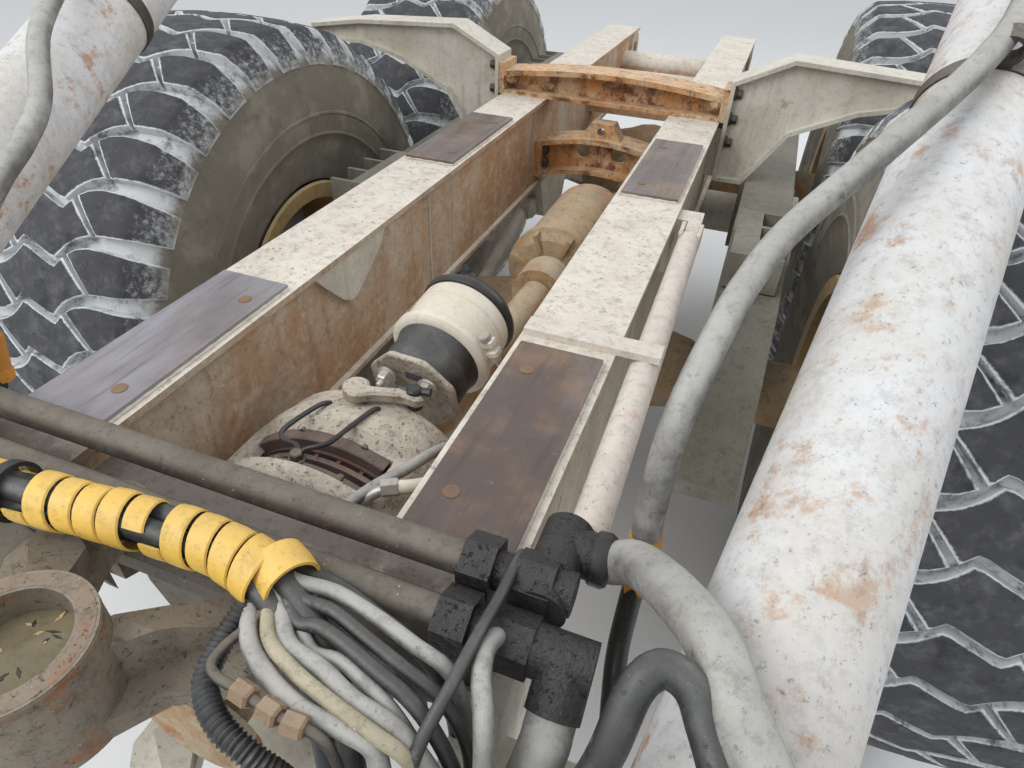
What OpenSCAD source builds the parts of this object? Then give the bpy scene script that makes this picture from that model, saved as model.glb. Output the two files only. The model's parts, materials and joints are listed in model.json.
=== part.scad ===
// Rear chassis of an articulated dump truck: box rails, walking-beam bogie on four wide tyres,
// driveline with its parking brake, hoist cylinders, body prop, steel pipes and hoses.
// Drawn in millimetres, +Y to the rear, +Z up, origin on the ground under the middle of the chassis.

/* [Bogie and wheels] */
// Distance between the middles of the left and right tyres
track = 2070; // [2040:5:2150]
// Outer diameter of a tyre over its tread
tyre_d = 1600; // [1560:5:1630]
// Clear distance between the front and rear tyres
tyre_gap = 70; // [40:5:120]
// Width of a tyre over its sidewalls
tyre_w = 600; // [570:5:620]
// Outer diameter of the rim flanges
rim_flange_d = 712; // [700:2:730]
// Width between the rim flanges
rim_w = 495; // [470:5:505]

/* [Rails] */
// Height of the rail tops above the axles
rail_over_axle = 546; // [530:2:580]
// Clear distance between the top flanges of the rails
rail_gap = 412; // [390:2:430]
// Width of a rail over its top flange
rail_w = 158; // [140:2:170]
// Depth of a rail
rail_h = 285; // [260:5:310]
// How far the top flange stands out from each side plate of a rail
flange_lip = 14; // [8:1:20]
// Thickness of the flange plates
flange_t = 12; // [8:1:16]
// Reach of the rails ahead of the bogie centre
rail_front = 2110; // [2080:5:2140]
// Reach of the rails behind the bogie centre
rail_rear = 1282; // [1240:5:1320]
// Diameter of the body hinge bores
hinge_bore_d = 72; // [60:2:80]

/* [Hoist cylinders] */
// Sideways place of the hoist base pins
hoist_x = 553; // [540:1:580]
// Reach of the hoist base pins ahead of the bogie centre
hoist_y = 2440; // [2420:5:2470]
// Depth of the hoist base pins below the rail tops
hoist_z = 118; // [100:2:140]
// Outward splay of a cylinder, in degrees
hoist_splay = 11.1; // [10:0.1:11.5]
// Rise of a cylinder as it stands, in degrees
hoist_rise = 23.4; // [22:0.1:25]
// Outer diameter of a barrel
barrel_d = 160; // [140:2:166]
// Diameter of a hoist rod
hoist_rod_d = 90; // [70:2:100]
// Pin to pin length of a cylinder as it stands, fully out
hoist_open = 4200; // [4150:10:4260]
// Travel of a hoist rod
hoist_stroke = 1680; // [1600:10:1700]
// Diameter of the hoist pins
hoist_pin_d = 60; // [50:2:66]

/* [Body prop] */
// Diameter of the prop bar
prop_d = 48; // [40:1:54]
// Length of the prop bar from its pin
prop_l = 905; // [860:5:930]

/* [Hidden] */
$fn = 48;

// clearances
fit = 0.05;        // running clearance on the radius of pins and spindles
seat = 0.3;        // clearance of round seats that don't move
run_gap = 6;       // clearance beside moving pieces

// paint and metal as the machine shows them
paint = "#b5a998";
rusty_paint = "#a97d57";
orange_paint = "#c98a4a";
tyre_black = "#4a4a4c";
rim_tan = "#c7a56a";
steel = "#8c8a88";
oily_black = "#2b2b2d";
hose_grey = "#8e8e8a";

// derived heights and lengths, in the chassis frame: origin on the rail tops at the bogie centre
tyre_r = tyre_d / 2;
wheelbase = tyre_d + tyre_gap;
axle_z = -rail_over_axle;
axle_y = wheelbase / 2;
flange_in = rail_gap / 2;
flange_out = flange_in + rail_w;
web_in = flange_in + flange_lip;
web_out = flange_out - flange_lip;
rail_mid = flange_in + rail_w / 2;
rim_flange_r = rim_flange_d / 2;
seat_r = rim_flange_r - 38;
spindle_r = 70;
hoist_ear_r = 80;
ear_gap = 92;
ear_t = 26;
front_reach = hoist_y + hoist_ear_r * cos(hoist_splay) + (ear_gap / 2 + ear_t) * sin(hoist_splay);
rear_reach = axle_y + tyre_r;
mid_y = (front_reach - rear_reach) / 2;

// moves children from the chassis frame to the part's frame
module on_chassis() translate([0, mid_y, tyre_r + rail_over_axle]) children();

// a left or right copy: side is 1 on the right and -1 on the left
module on_side(side) mirror([side < 0 ? 1 : 0, 0, 0]) children();

module both_sides() {
    for (side = [-1, 1]) on_side(side) children();
}

// a plate drawn as [y, z] points, from x0 outwards by t
module plate_yz(points, x0, t) translate([x0, 0, 0]) rotate([90, 0, 90]) linear_extrude(t) polygon(points);

// a plate drawn as [x, z] points, from y0 to the rear by t
module plate_xz(points, y0, t) translate([0, y0 + t, 0]) rotate([90, 0, 0]) linear_extrude(t) polygon(points);

// a cylinder along X, Y or between two points
module rod_x(p, l, r) translate(p) rotate([0, 90, 0]) cylinder(h = l, r = r);
module rod_y(p, l, r) translate(p) rotate([-90, 0, 0]) cylinder(h = l, r = r);
module along_line(p, q) {
    v = q - p;
    translate(p) rotate([0, acos(v.z / norm(v)), atan2(v.y, v.x)]) children();
}
module rod_between(p, q, r) along_line(p, q) cylinder(h = norm(q - p), r = r);

// a turned piece about a line along Y; profile columns: radius, distance to the rear
module turned_y(p, profile) translate(p) rotate([-90, 0, 0]) rotate_extrude($fn = 64) polygon(profile);

// hose sweep: a smooth curve through a few chosen points, carried round by rings
function unit(v) = v / norm(v);
function spline_at(a, b, c, d, t) =
    0.5 * (2 * b + (c - a) * t + (2 * a - 5 * b + 4 * c - d) * t * t + (3 * b - a - 3 * c + d) * t * t * t);
function smooth_route(p, steps) = let (n = len(p)) concat(
    [for (i = [0 : n - 2]) for (k = [0 : steps - 1])
        spline_at(p[max(i - 1, 0)], p[i], p[i + 1], p[min(i + 2, n - 1)], k / steps)], [p[n - 1]]);
function tangents(p) = [for (i = [0 : len(p) - 1]) unit(p[min(i + 1, len(p) - 1)] - p[max(i - 1, 0)])];
function carried(normal, tangent) = unit(normal - (normal * tangent) * tangent);
function ring_normals(ts, last, i = 0) = i == len(ts) ? [] :
    let (n = carried(last, ts[i])) concat([n], ring_normals(ts, n, i + 1));

module swept(route, r, sides = 8) {
    ts = tangents(route);
    first = abs(ts[0].z) < 0.8 ? [0, 0, 1] : [1, 0, 0];
    ns = ring_normals(ts, first);
    rings = [for (i = [0 : len(route) - 1]) for (j = [0 : sides - 1])
        let (a = 360 * j / sides) route[i] + r * (cos(a) * ns[i] + sin(a) * cross(ts[i], ns[i]))];
    walls = [for (i = [0 : len(route) - 2]) for (j = [0 : sides - 1])
        [i * sides + j, (i + 1) * sides + j, (i + 1) * sides + (j + 1) % sides, i * sides + (j + 1) % sides]];
    near_cap = [for (j = [0 : sides - 1]) j];
    far_cap = [for (j = [0 : sides - 1]) len(route) * sides - 1 - j];
    polyhedron(rings, concat(walls, [near_cap, far_cap]), convexity = 10);
}

module hose(points, d, steps = 4) swept(smooth_route(points, steps), d / 2);

// Rails: closed boxes with a wider top flange and a bored boss at the rear for the body hinge
rail_outline = [[-rail_front, 0], [-rail_front, -rail_h + 40], [-rail_front + 90, -rail_h],
                [rail_rear - 330, -rail_h], [rail_rear, -170], [rail_rear, 0]];
hinge_y = rail_rear - 80;
hinge_z = -85;
hinge_boss_r = 78;

module rail() {
    difference() {
        union() {
            plate_yz(rail_outline, web_in, web_out - web_in);
            translate([flange_in, -rail_front, -flange_t]) cube([rail_w, rail_front + rail_rear, flange_t]);
            translate([flange_in, -rail_front + 90, -rail_h])
                cube([rail_w, rail_front - 90 + rail_rear - 330, flange_t]);
            rod_x([flange_in, hinge_y, hinge_z], rail_w, hinge_boss_r);
        }
        rod_x([flange_in - 1, hinge_y, hinge_z], rail_w + 2, hinge_bore_d / 2);
    }
}

module rail_left() color(paint) on_chassis() on_side(-1) rail();
module rail_right() color(paint) on_chassis() rail();

// Front crossmember: a shelf across the rail fronts over a portal plate that the shaft passes through
shaft_z = -300;
shelf_z = -70;
shelf_t = 24;
shelf_front = rail_front + 62;
portal_t = 50;
portal_y = -rail_front + 30;
portal_low = -470;

module front_crossmember() color(rusty_paint) on_chassis() {
    difference() {
        plate_xz([[-web_in, shelf_z], [web_in, shelf_z], [web_in, -rail_h], [150, portal_low],
                  [-150, portal_low], [-web_in, -rail_h]], portal_y, portal_t);
        rod_y([0, portal_y - 1, shaft_z], portal_t + 2, 105);
    }
    translate([-web_in, -rail_front, shelf_z]) cube([2 * web_in, 30 + portal_t, shelf_t]);
    difference() {
        translate([-flange_out, -shelf_front, shelf_z]) cube([2 * flange_out, shelf_front - rail_front, shelf_t]);
        both_sides() translate([flange_out, -shelf_front, shelf_z - 1]) rotate([0, 0, 45])
            cube([60, 60, 2 * shelf_t], center = true);
    }
    both_sides() plate_yz([[-rail_front, shelf_z], [-shelf_front, shelf_z], [-rail_front, -rail_h]], web_in + 30, 20);
    // arms that carry the brake caliper
    both_sides() translate([126, portal_y + portal_t, shaft_z + 64]) cube([36, caliper_front - portal_y - portal_t, 62]);
}

// Yokes: a bored ring on the centreline with two arms that spread to the crossmember
kingpin_y = -2330;
ring_r = 72;
ring_bore_r = 52;
yoke_arm_x = 125;
yoke_arm_y = -shelf_front + 32;

// plan of an arm: a broad web that leaves the ring, turns to the rear and ends round the bolt
web_plan = [[20, kingpin_y - 50], [60, kingpin_y - 20], [100, kingpin_y + 40], [150, kingpin_y + 68], [170, kingpin_y + 95],
            [172, kingpin_y + 200], [84, kingpin_y + 200], [78, kingpin_y + 140], [60, kingpin_y + 100], [20, kingpin_y + 68]];
// plan of the rib along its inner edge
rib_plan = [[26, kingpin_y + 52], [54, kingpin_y + 30], [92, kingpin_y + 78], [150, kingpin_y + 118], [128, kingpin_y + 150],
            [84, kingpin_y + 130], [60, kingpin_y + 98]];
module yoke_arm(z0, t, rib) {
    translate([0, 0, z0]) linear_extrude(t) difference() {
        union() {
            polygon(web_plan);
            translate([yoke_arm_x, yoke_arm_y]) circle(r = 46);
        }
        translate([0, kingpin_y]) circle(r = ring_bore_r + 8);
    }
    // the rib falls from the ring to the foot
    intersection() {
        translate([0, 0, z0 + t - 1]) linear_extrude(rib + 1) difference() {
            polygon(rib_plan);
            translate([0, kingpin_y]) circle(r = ring_bore_r + 8);
        }
        plate_yz([[kingpin_y, z0], [kingpin_y, z0 + t + rib], [kingpin_y + 66, z0 + t + rib - 4], [kingpin_y + 110, z0 + t + rib / 2],
                  [kingpin_y + 170, z0 + t - 2], [kingpin_y + 170, z0]], 0, 200);
    }
}

module yoke(z0, ring_h, arm_z, arm_t, rib, bore_r = ring_bore_r) {
    difference() {
        union() {
            translate([0, kingpin_y, z0]) cylinder(h = ring_h, r = ring_r);
            both_sides() yoke_arm(arm_z, arm_t, rib);
        }
        translate([0, kingpin_y, z0 - 1]) cylinder(h = ring_h + 2, r = bore_r);
    }
    both_sides() translate([yoke_arm_x, yoke_arm_y, arm_z + arm_t]) {
        cylinder(h = 8, r = 24);
        translate([0, 0, 8]) cylinder(h = 14, r = 14, $fn = 6);
    }
}

yoke_ring_h = 112;
yoke_low_h = 74;
yoke_low_bore_r = 50;
yoke_arm_t = 26;
yoke_rib_h = 56;
yoke_low_rib_h = 30;
module yoke_upper() color(paint) on_chassis() yoke(shelf_z + shelf_t, yoke_ring_h, shelf_z + shelf_t, yoke_arm_t, yoke_rib_h);
module yoke_lower() color(paint) on_chassis() {
    yoke(portal_low - 20, yoke_low_h, portal_low - 20, yoke_arm_t, yoke_low_rib_h, yoke_low_bore_r);
    // foot that carries the lower yoke on the portal plate
    translate([-140, yoke_arm_y - 40, portal_low - 24]) cube([280, 240, 24]);
}

// Upper crossmember: a cast channel on the rail tops, arched along its top flange
beam_y = -185;
beam_w = 118;
beam_h = 96;
beam_flange = 16;

module crossmember_upper() color(orange_paint) on_chassis() {
    arch = [for (i = [0 : 12]) let (x = -flange_out - 14 + i * (2 * flange_out + 28) / 12)
            [x, beam_h - 26 + 26 * cos(90 * x / (flange_out + 14))]];
    intersection() {
        translate([0, beam_y, 0]) translate([-flange_out - 14, -beam_w / 2, 0]) cube([2 * flange_out + 28, beam_w, beam_h]);
        union() {
            plate_xz(concat(arch, [for (i = [12 : -1 : 0]) arch[i] - [0, beam_flange]]), beam_y - beam_w / 2, beam_w);
            plate_xz(concat(arch, [[flange_out + 14, 0], [-flange_out - 14, 0]]), beam_y - 9, 18);
            translate([-flange_out - 14, beam_y - beam_w / 2, 0]) cube([2 * flange_out + 28, beam_w, beam_flange - 4]);
            both_sides() translate([flange_out - 6, beam_y - beam_w / 2, 0]) cube([20, beam_w, beam_h]);
        }
    }
}

// Lower crossmember: a cast frame between the side plates of the rails
low_y = -240;
low_w = 110;
low_top = -128;
low_bottom = -232;

module crossmember_lower() color(orange_paint) on_chassis() {
    rise = 34;
    top = [for (i = [0 : 10]) let (x = -web_in + i * 2 * web_in / 10) [x, low_top + rise * cos(90 * x / web_in)]];
    low = [for (i = [0 : 10]) let (x = -web_in + i * 2 * web_in / 10) [x, low_bottom + rise * cos(90 * x / web_in)]];
    plate_xz(concat(top, [for (i = [10 : -1 : 0]) top[i] - [0, 16]]), low_y - low_w / 2, low_w);
    plate_xz(concat(low, [for (i = [10 : -1 : 0]) low[i] - [0, 14]]), low_y - low_w / 2, low_w);
    both_sides() translate([web_in - 24, low_y - low_w / 2, low_bottom - 14]) cube([24, low_w, low_top - low_bottom + 14]);
    difference() {
        plate_xz(concat(top, [for (i = [10 : -1 : 0]) low[i]]), low_y - 8, 16);
        for (x = [-62, 62]) rod_y([x, low_y - 20, (low_top + low_bottom) / 2 + 32], 40, 26);
    }
    // spring lug on the top flange
    translate([0, low_y, low_top + rise]) difference() {
        plate_xz([[-70, -10], [-38, 46], [38, 46], [70, -10]], -30, 60);
        rod_y([0, -31, 20], 62, 14);
    }
}

// Rear crossmember: a round tube through the rails below the body hinge
rear_tube_y = rail_rear - 230;
rear_tube_r = 80;
rear_tube_z = -150;
tie_w = 90;
tie_y = [420, 760];
module rear_crossmember() color(paint) on_chassis() {
    rod_x([-web_in, rear_tube_y, rear_tube_z], 2 * web_in, rear_tube_r);
    for (y = tie_y) translate([-web_in, y, -rail_h + 85]) cube([2 * web_in, tie_w, tie_w]);
}

// Outriggers: folded arms bolted to the rails, which carry the body rests over the tyres
arm_outline = [[flange_out + 14, -180], [flange_out + 14, 118], [540, 196], [900, 178], [1096, 150],
               [1096, 92], [900, 104], [745, 66], [575, -14], [470, -180]];
arm_front_y = beam_y - beam_w / 2 - 4;
arm_d = 120;
arm_t = 12;

// a polygon moved inwards by t, for the hollow of a folded channel
function inset(p, t) = let (n = len(p)) [for (i = [0 : n - 1])
    let (a = unit(p[i] - p[(i + n - 1) % n]), b = unit(p[(i + 1) % n] - p[i]),
         na = [a.y, -a.x], nb = [b.y, -b.x]) p[i] + t * (na + nb) / (1 + na * nb)];

module outrigger() {
    hollow = inset(arm_outline, arm_t);
    difference() {
        plate_xz(arm_outline, arm_front_y, arm_d);
        plate_xz(hollow, arm_front_y - 1, 25);
        plate_xz(hollow, arm_front_y + 24 + arm_t, arm_d);
    }
    // seat plate on the side of the rail
    translate([web_out, arm_front_y + 20, -172]) cube([flange_out + 20 - web_out, 80, 150]);
}

module outrigger_left() color(paint) on_chassis() on_side(-1) outrigger();
module outrigger_right() color(paint) on_chassis() outrigger();

// Wear pads: flat plates on the rail tops that the body lands on; columns: front y, rear y
pad_spans = [[-2055, -1650], [-960, -528]];
pad_t = 10;
pad_margin = 12;
module wear_pads() color("#5a4a42") on_chassis() both_sides() for (span = pad_spans)
    translate([flange_in + pad_margin, span[0], 0]) cube([rail_w - 2 * pad_margin, span[1] - span[0], pad_t]);

// Web brackets: rounded gussets under the top flanges, on the inner side plates
module web_brackets() color(paint) on_chassis() both_sides() {
    plate_yz([[-1584, -flange_t], [-1560, -40], [-1505, -96], [-1480, -112], [-1455, -112], [-1345, -44],
              [-1325, -flange_t]], web_in - 10, 10);
}

// Axles: a bowl for the final drive, tapered arms and a spindle in each wheel; drop is the through-drive tower
arm_end = track / 2 - 60;
// columns: radius, distance from the middle of the axle
axle_half = [[205, 0], [198, 55], [178, 105], [166, 150], [102, 450], [92, 470], [92, arm_end - 40], [130, arm_end - 40],
             [130, arm_end], [spindle_r, arm_end], [spindle_r, arm_end + 100]];
module axle(tower) {
    n = len(axle_half);
    back = [for (i = [n - 1 : -1 : 1]) [axle_half[i].x, -axle_half[i].y]];
    rotate([0, 90, 0]) rotate_extrude($fn = 64)
        polygon(concat([[0, -arm_end - 100]], back, axle_half, [[0, arm_end + 100]]));
    both_sides() {
        // ears for the torque rod
        rod_ears([torque_low.x, (tower ? 1 : -1) * (axle_y - torque_low.y), 0], (tower ? -1 : 1) * (axle_y - torque_low.y - 60));
        // spring seat under the bogie beam
        translate([485, -110, 60]) cube([150, 220, beam_low - axle_z - 60]);
    }
    rod_y([0, -290, 0], 290, 140);
    if (tower) {
        // input and through-drive case above the bowl, with its ribbed round cover
        turned_y([tower_x, 0, input_z - axle_z], tower_profile);
        for (i = [0 : 7]) translate([tower_x, 0, input_z - axle_z]) rotate([0, 45 * i + 22.5, 0])
            translate([56, -206, -5]) cube([tower_r - 62, 50, 10]);
        translate([tower_x - 105, -130, 40]) cube([210, 260, input_z - axle_z - 40]);
    }
    else {
        rod_y([0, -350, 0], 80, 62);
    }
}

tower_x = 80;
tower_r = 122;
input_reach = 215;
// columns: radius, distance to the rear of the axle
tower_profile = [[0, -input_reach], [62, -input_reach], [62, -205], [96, -194], [tower_r - 10, -178], [tower_r, -172],
                 [tower_r, -150], [tower_r - 10, -146], [tower_r - 10, 180], [0, 180]];
input_z = -215;
beam_low = -430;
module axle_front() color(rusty_paint) on_chassis() translate([0, -axle_y, axle_z]) axle(true);
module axle_rear() color(paint) on_chassis() translate([0, axle_y, axle_z]) axle(false);

// Bogie beams: walking beams outside the rails, hung on the pivot tube, curved down at both ends
beam_in = 485;
beam_out = 635;
beam_top = -170;
nose_y = axle_y + 510;
nose_z = -520;
pivot_r = 70;
pivot_z = -rail_h - pivot_r - 20;
module bogie_beam() {
    half = [[-nose_y, nose_z + 40], [-axle_y - 345, -330], [-axle_y - 125, -215], [-axle_y + 75, beam_top], [0, beam_top]];
    under = [[0, beam_low - 60], [-axle_y + 195, beam_low], [-axle_y - 110, beam_low], [-axle_y - 225, beam_low - 30],
             [-nose_y + 60, nose_z - 40], [-nose_y, nose_z]];
    difference() {
        union() {
            for (end = [0, 1]) mirror([0, end, 0]) plate_yz(concat(half, under), beam_in, beam_out - beam_in);
            rod_x([beam_in - 16, 0, pivot_z], beam_out - beam_in + 36, 118);
        }
        rod_x([beam_in - 20, 0, pivot_z], beam_out - beam_in + 60, pivot_r + fit);
    }
    // stop boxes above the axles, ribbed on their outer sides
    for (end = [-1, 1]) translate([0, end * axle_y, 0]) {
        translate([beam_in + 8, -90, beam_top - 30]) cube([62, 290, 92]);
        translate([beam_in + 69, -90, beam_top - 30]) cube([beam_out - beam_in - 85, 290, 58]);
        for (y = [-90, 0, 90, 188]) translate([beam_in + 69, y, beam_top]) cube([beam_out - beam_in - 85, 12, 62]);
    }
}
module bogie_beam_left() color(paint) on_chassis() on_side(-1) bogie_beam();
module bogie_beam_right() color(paint) on_chassis() bogie_beam();

// Bogie pivot: a saddle under each rail with a stub shaft out to an end cap on the beam
module bogie_pivot() color(paint) on_chassis() {
    both_sides() {
        rod_x([web_in + 5, 0, pivot_z], beam_out + 15 - web_in, pivot_r);
        plate_yz([[-190, -rail_h], [-120, pivot_z - 90], [120, pivot_z - 90], [190, -rail_h]], web_in + 5, 120);
        rod_x([beam_out + 20, 0, pivot_z], 20, 92);
        for (end = [-1, 1]) rod_ears([torque_high.x, end * torque_high.y, torque_high.z], -end * 84);
    }
}

// Torque rods: between ears under the bogie saddles and ears on the axle arms
torque_x = rail_mid;
torque_eye_r = 40;
torque_eye_w = 46;
torque_pin_r = 16;
torque_low = [torque_x, axle_y - 138 - torque_eye_r - 24, axle_z];
torque_high = [torque_x, 192, pivot_z - 40];
module rod_ears(p, reach) {
    // reach runs along Y from the eye to what carries the ears
    for (side = [-1, 1]) {
        rod_x([p.x + side * (torque_eye_w / 2 + 8) - 7, p.y, p.z], 14, 34);
        translate([p.x + side * (torque_eye_w / 2 + 8) - 7, min(p.y, p.y + reach), p.z - 34]) cube([14, abs(reach), 68]);
    }
    rod_x([p.x - torque_eye_w / 2 - 20, p.y, p.z], torque_eye_w + 40, torque_pin_r);
}
module torque_rods() color(paint) on_chassis() for (end = [-1, 1]) both_sides() {
    low = [torque_low.x, end * torque_low.y, torque_low.z];
    high = [torque_high.x, end * torque_high.y, torque_high.z];
    difference() {
        union() {
            rod_between(low, high, 24);
            for (p = [low, high]) rod_x([p.x - torque_eye_w / 2, p.y, p.z], torque_eye_w, torque_eye_r);
        }
        for (p = [low, high]) rod_x([p.x - 50, p.y, p.z], 100, torque_pin_r + fit);
    }
}

// Propshafts: from the front through the brake disc to the front axle, and between the axles
brake_y = -1905;
coupling_y = -shelf_front - 40;
coupling_l = 82;
module propshafts() color(rusty_paint) on_chassis() {
    rod_y([0, coupling_y, shaft_z], brake_y - coupling_y, 45);
    rod_y([0, coupling_y - 22, shaft_z], 22, 85);
    rod_y([0, brake_y + 26, shaft_z], 70, 75);
    rod_between([0, brake_y + 96, shaft_z], [tower_x, -axle_y - input_reach - coupling_l, input_z], 40);
    rod_y([tower_x, -axle_y - input_reach - coupling_l, input_z], coupling_l, 66);
    // rear shaft
    rod_y([tower_x, -axle_y + 180, input_z], 60, 66);
    rod_between([tower_x, -axle_y + 240, input_z], [0, axle_y - 350 - coupling_l, axle_z], 40);
    rod_y([0, axle_y - 350 - coupling_l, axle_z], coupling_l, 66);
}

// Parking brake: a ventilated disc on the shaft, a cast caliper over it and a spring chamber behind
disc_r = 190;
disc_t = 26;
disc_bore_r = 45;
disc_wall = 9;
vanes = 30;
module brake_disc() color(steel) on_chassis() difference() {
    union() {
        for (y = [0, disc_t - disc_wall]) rod_y([0, brake_y + y, shaft_z], disc_wall, disc_r);
        rod_y([0, brake_y, shaft_z], disc_t, 84);
        for (i = [0 : vanes - 1]) translate([0, brake_y, shaft_z]) rotate([0, 360 / vanes * i, 0])
            translate([80, disc_wall - 1, -3]) cube([disc_r - 84, disc_t - 2 * disc_wall + 2, 6]);
    }
    rod_y([0, brake_y - 1, shaft_z], disc_t + 2, disc_bore_r);
}

caliper_front = brake_y - 70;
caliper_rear = brake_y + 172;
disc_room = 14;
// half section of the casting about the shaft, columns: radius, distance behind the front of the disc
caliper_section = [[140, caliper_front - brake_y], [198, caliper_front - brake_y], [208, caliper_front - brake_y + 10], [215, -24], [217, 50],
                   [212, 110], [205, 160], [192, caliper_rear - brake_y], [118, caliper_rear - brake_y], [118, disc_t + disc_room],
                   [disc_r + 9, disc_t + disc_room], [disc_r + 9, -disc_room], [140, -disc_room]];
module brake_caliper() color("#a89a86") on_chassis() difference() {
    translate([0, brake_y, shaft_z]) caliper_casting();
    // seat of the chamber's plate
    rod_between(chamber_a - chamber_plate_t * chamber_along, chamber_b, chamber_plate_r + 4);
}
module caliper_casting() {
    difference() {
        union() {
            intersection() {
                turned_y([0, 0, 0], caliper_section);
                translate([-178, -100, 56]) cube([356, 400, 200]);
            }
            plate_xz([[-60, 110], [-60, 196], [-20, 214], [60, 211], [112, 180], [112, 110]], 150, 110);
        }
        // window over the disc and the pads
        translate([-122, -34, 90]) cube([206, 80, 160]);
    }
    // pads on the cheeks
    turned_pad(-36, -4);
    turned_pad(disc_t + 4, disc_t + 24);
    // lever plate over the window
    translate([0, 0, 206]) {
        translate([-96, -52, -30]) cylinder(h = 46, r = 24);
        translate([10, 66, 0]) cylinder(h = 16, r = 30);
        translate([-96, -52, 0]) rotate([0, 0, 48]) translate([0, -14, 0]) cube([158, 28, 16]);
    }
}
module turned_pad(y0, y1) intersection() {
    turned_y([0, 0, 0], [[150, y0], [205, y0], [205, y1], [150, y1]]);
    plate_xz([[0, 0], [-110, 240], [80, 240]], y0 - 1, y1 - y0 + 2);
}

chamber_a = [28, -1668, -140];
chamber_b = [46, -1430, -88];
chamber_plate_t = 12;
chamber_plate_r = 92;
chamber_along = unit(chamber_b - chamber_a);
chamber_l = norm(chamber_b - chamber_a);
// columns: radius, distance behind the mounting plate
chamber_section = [[0, 0], [68, 0], [78, 12], [78, 84], [90, 92], [98, 94], [98, 108], [90, 111], [92, 120],
                   [92, chamber_l - 18], [84, chamber_l - 6], [66, chamber_l], [0, chamber_l]];
module brake_chamber() color("#d8d2c0") on_chassis() {
    along_line(chamber_a, chamber_b) rotate_extrude($fn = 64) polygon(chamber_section);
    // eight-sided mounting plate in front, seated on the caliper
    along_line(chamber_a - chamber_plate_t * chamber_along, chamber_a) rotate([0, 0, 22.5])
        cylinder(h = chamber_plate_t, r = chamber_plate_r, $fn = 8);
}

// Wheel brakes: discs turn with the hubs, calipers sit on the axle ends
module wheel_brakes() color(steel) on_chassis() for (end = [-1, 1]) both_sides()
    translate([arm_end - 40, end * axle_y, axle_z]) difference() {
        plate_yz([[-110, 120], [-80, 270], [80, 270], [110, 120]], -60, 100);
        rod_x([-61, 0, 0], 102, 130 + seat);
    }

// Hoist brackets: two ears each side in front of the rails, on a cross box and a side plate
foot_low = -hoist_ear_r - 50;
foot_top = -hoist_ear_r + 22;
bracket_front = -hoist_y + 118;
module hoist_brackets() color(paint) on_chassis() both_sides() {
    difference() {
        union() {
            translate([hoist_x, -hoist_y, -hoist_z]) rotate([0, 0, -hoist_splay]) for (side = [-1, 1])
                translate([side * (ear_gap + ear_t) / 2 - ear_t / 2, 0, 0]) {
                    rod_x([0, 0, 0], ear_t, hoist_ear_r);
                    translate([0, -40, foot_low]) cube([ear_t, 190, foot_top - foot_low]);
                }
            // cross box and side plate
            translate([web_out, bracket_front, box_top - 72]) cube([hoist_x + 130 - web_out, 180, 72]);
            translate([web_out, bracket_front, -rail_h + flange_t]) cube([40, 320, rail_h - flange_t + shelf_z - 2]);
        }
        translate([hoist_x, -hoist_y, -hoist_z]) rotate([0, 0, -hoist_splay]) {
            rod_x([-100, 0, 0], 200, hoist_pin_d / 2 + seat);
            // way for the base eye between the ears
            rod_x([-ear_gap / 2, 0, 0], ear_gap, 100);
        }
    }
    // base pin with its keeper plate
    translate([hoist_x, -hoist_y, -hoist_z]) rotate([0, 0, -hoist_splay]) {
        rod_x([-ear_gap / 2 - ear_t - 8, 0, 0], ear_gap + 2 * ear_t + 16, hoist_pin_d / 2);
        rod_x([ear_gap / 2 + ear_t, 0, 0], 8, hoist_pin_d / 2 + 14);
    }
}

// Cross pipes: two steel pipes over the rail fronts
pipe_d = 36;
upper_pipe = [-flange_out - 2, -2090, 42];
lower_pipe = [-flange_out - 2, -2150, 30];
pipe_end_x = 318;
module cross_pipes() color(hose_grey) on_chassis() {
    rod_x(upper_pipe, pipe_end_x - upper_pipe.x, pipe_d / 2);
    rod_x(lower_pipe, pipe_end_x - lower_pipe.x, pipe_d / 2);
}

// Pipe fittings: nuts, adapters and elbows where the pipes meet the hoses, and the stands that hold them
elbow_d = 50;
upper_elbow = [404, -2034, 36];
upper_mouth_x = 438;
lower_elbow = [444, -2150, 30];
lower_mouth = [444, -2190, 4];
module pipe_fittings() color(oily_black) on_chassis() {
    for (p = [upper_pipe, lower_pipe]) {
        rod_hex([pipe_end_x, p.y, p.z], 34, 32);
        rod_x([pipe_end_x + 34, p.y, p.z], 20, 20);
        rod_hex([pipe_end_x + 54, p.y, p.z], 40, 30);
        rod_x([pipe_end_x + 94, p.y, p.z], 20, 22);
    }
    rod_y([upper_elbow.x, upper_pipe.y - elbow_d / 2, upper_elbow.z], upper_elbow.y - upper_pipe.y + elbow_d, elbow_d / 2 + 2);
    rod_x(upper_elbow, upper_mouth_x - upper_elbow.x, elbow_d / 2);
    rod_x([pipe_end_x + 94, lower_elbow.y, lower_elbow.z], lower_elbow.x - pipe_end_x - 94 + elbow_d / 2, elbow_d / 2);
    rod_between(lower_elbow, lower_mouth, elbow_d / 2 + 1);
    // stand on the shelf, and the end block beside the left rail
    translate([flange_out - 32, -2168, shelf_z + shelf_t]) cube([30, 52, -shelf_z - shelf_t + 8]);
    translate([upper_pipe.x - 36, -2172, shelf_z - 2]) cube([36, 104, 66 - shelf_z]);
}
module rod_hex(p, l, r) translate(p) rotate([0, 90, 0]) cylinder(h = l, r = r, $fn = 6);

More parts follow.
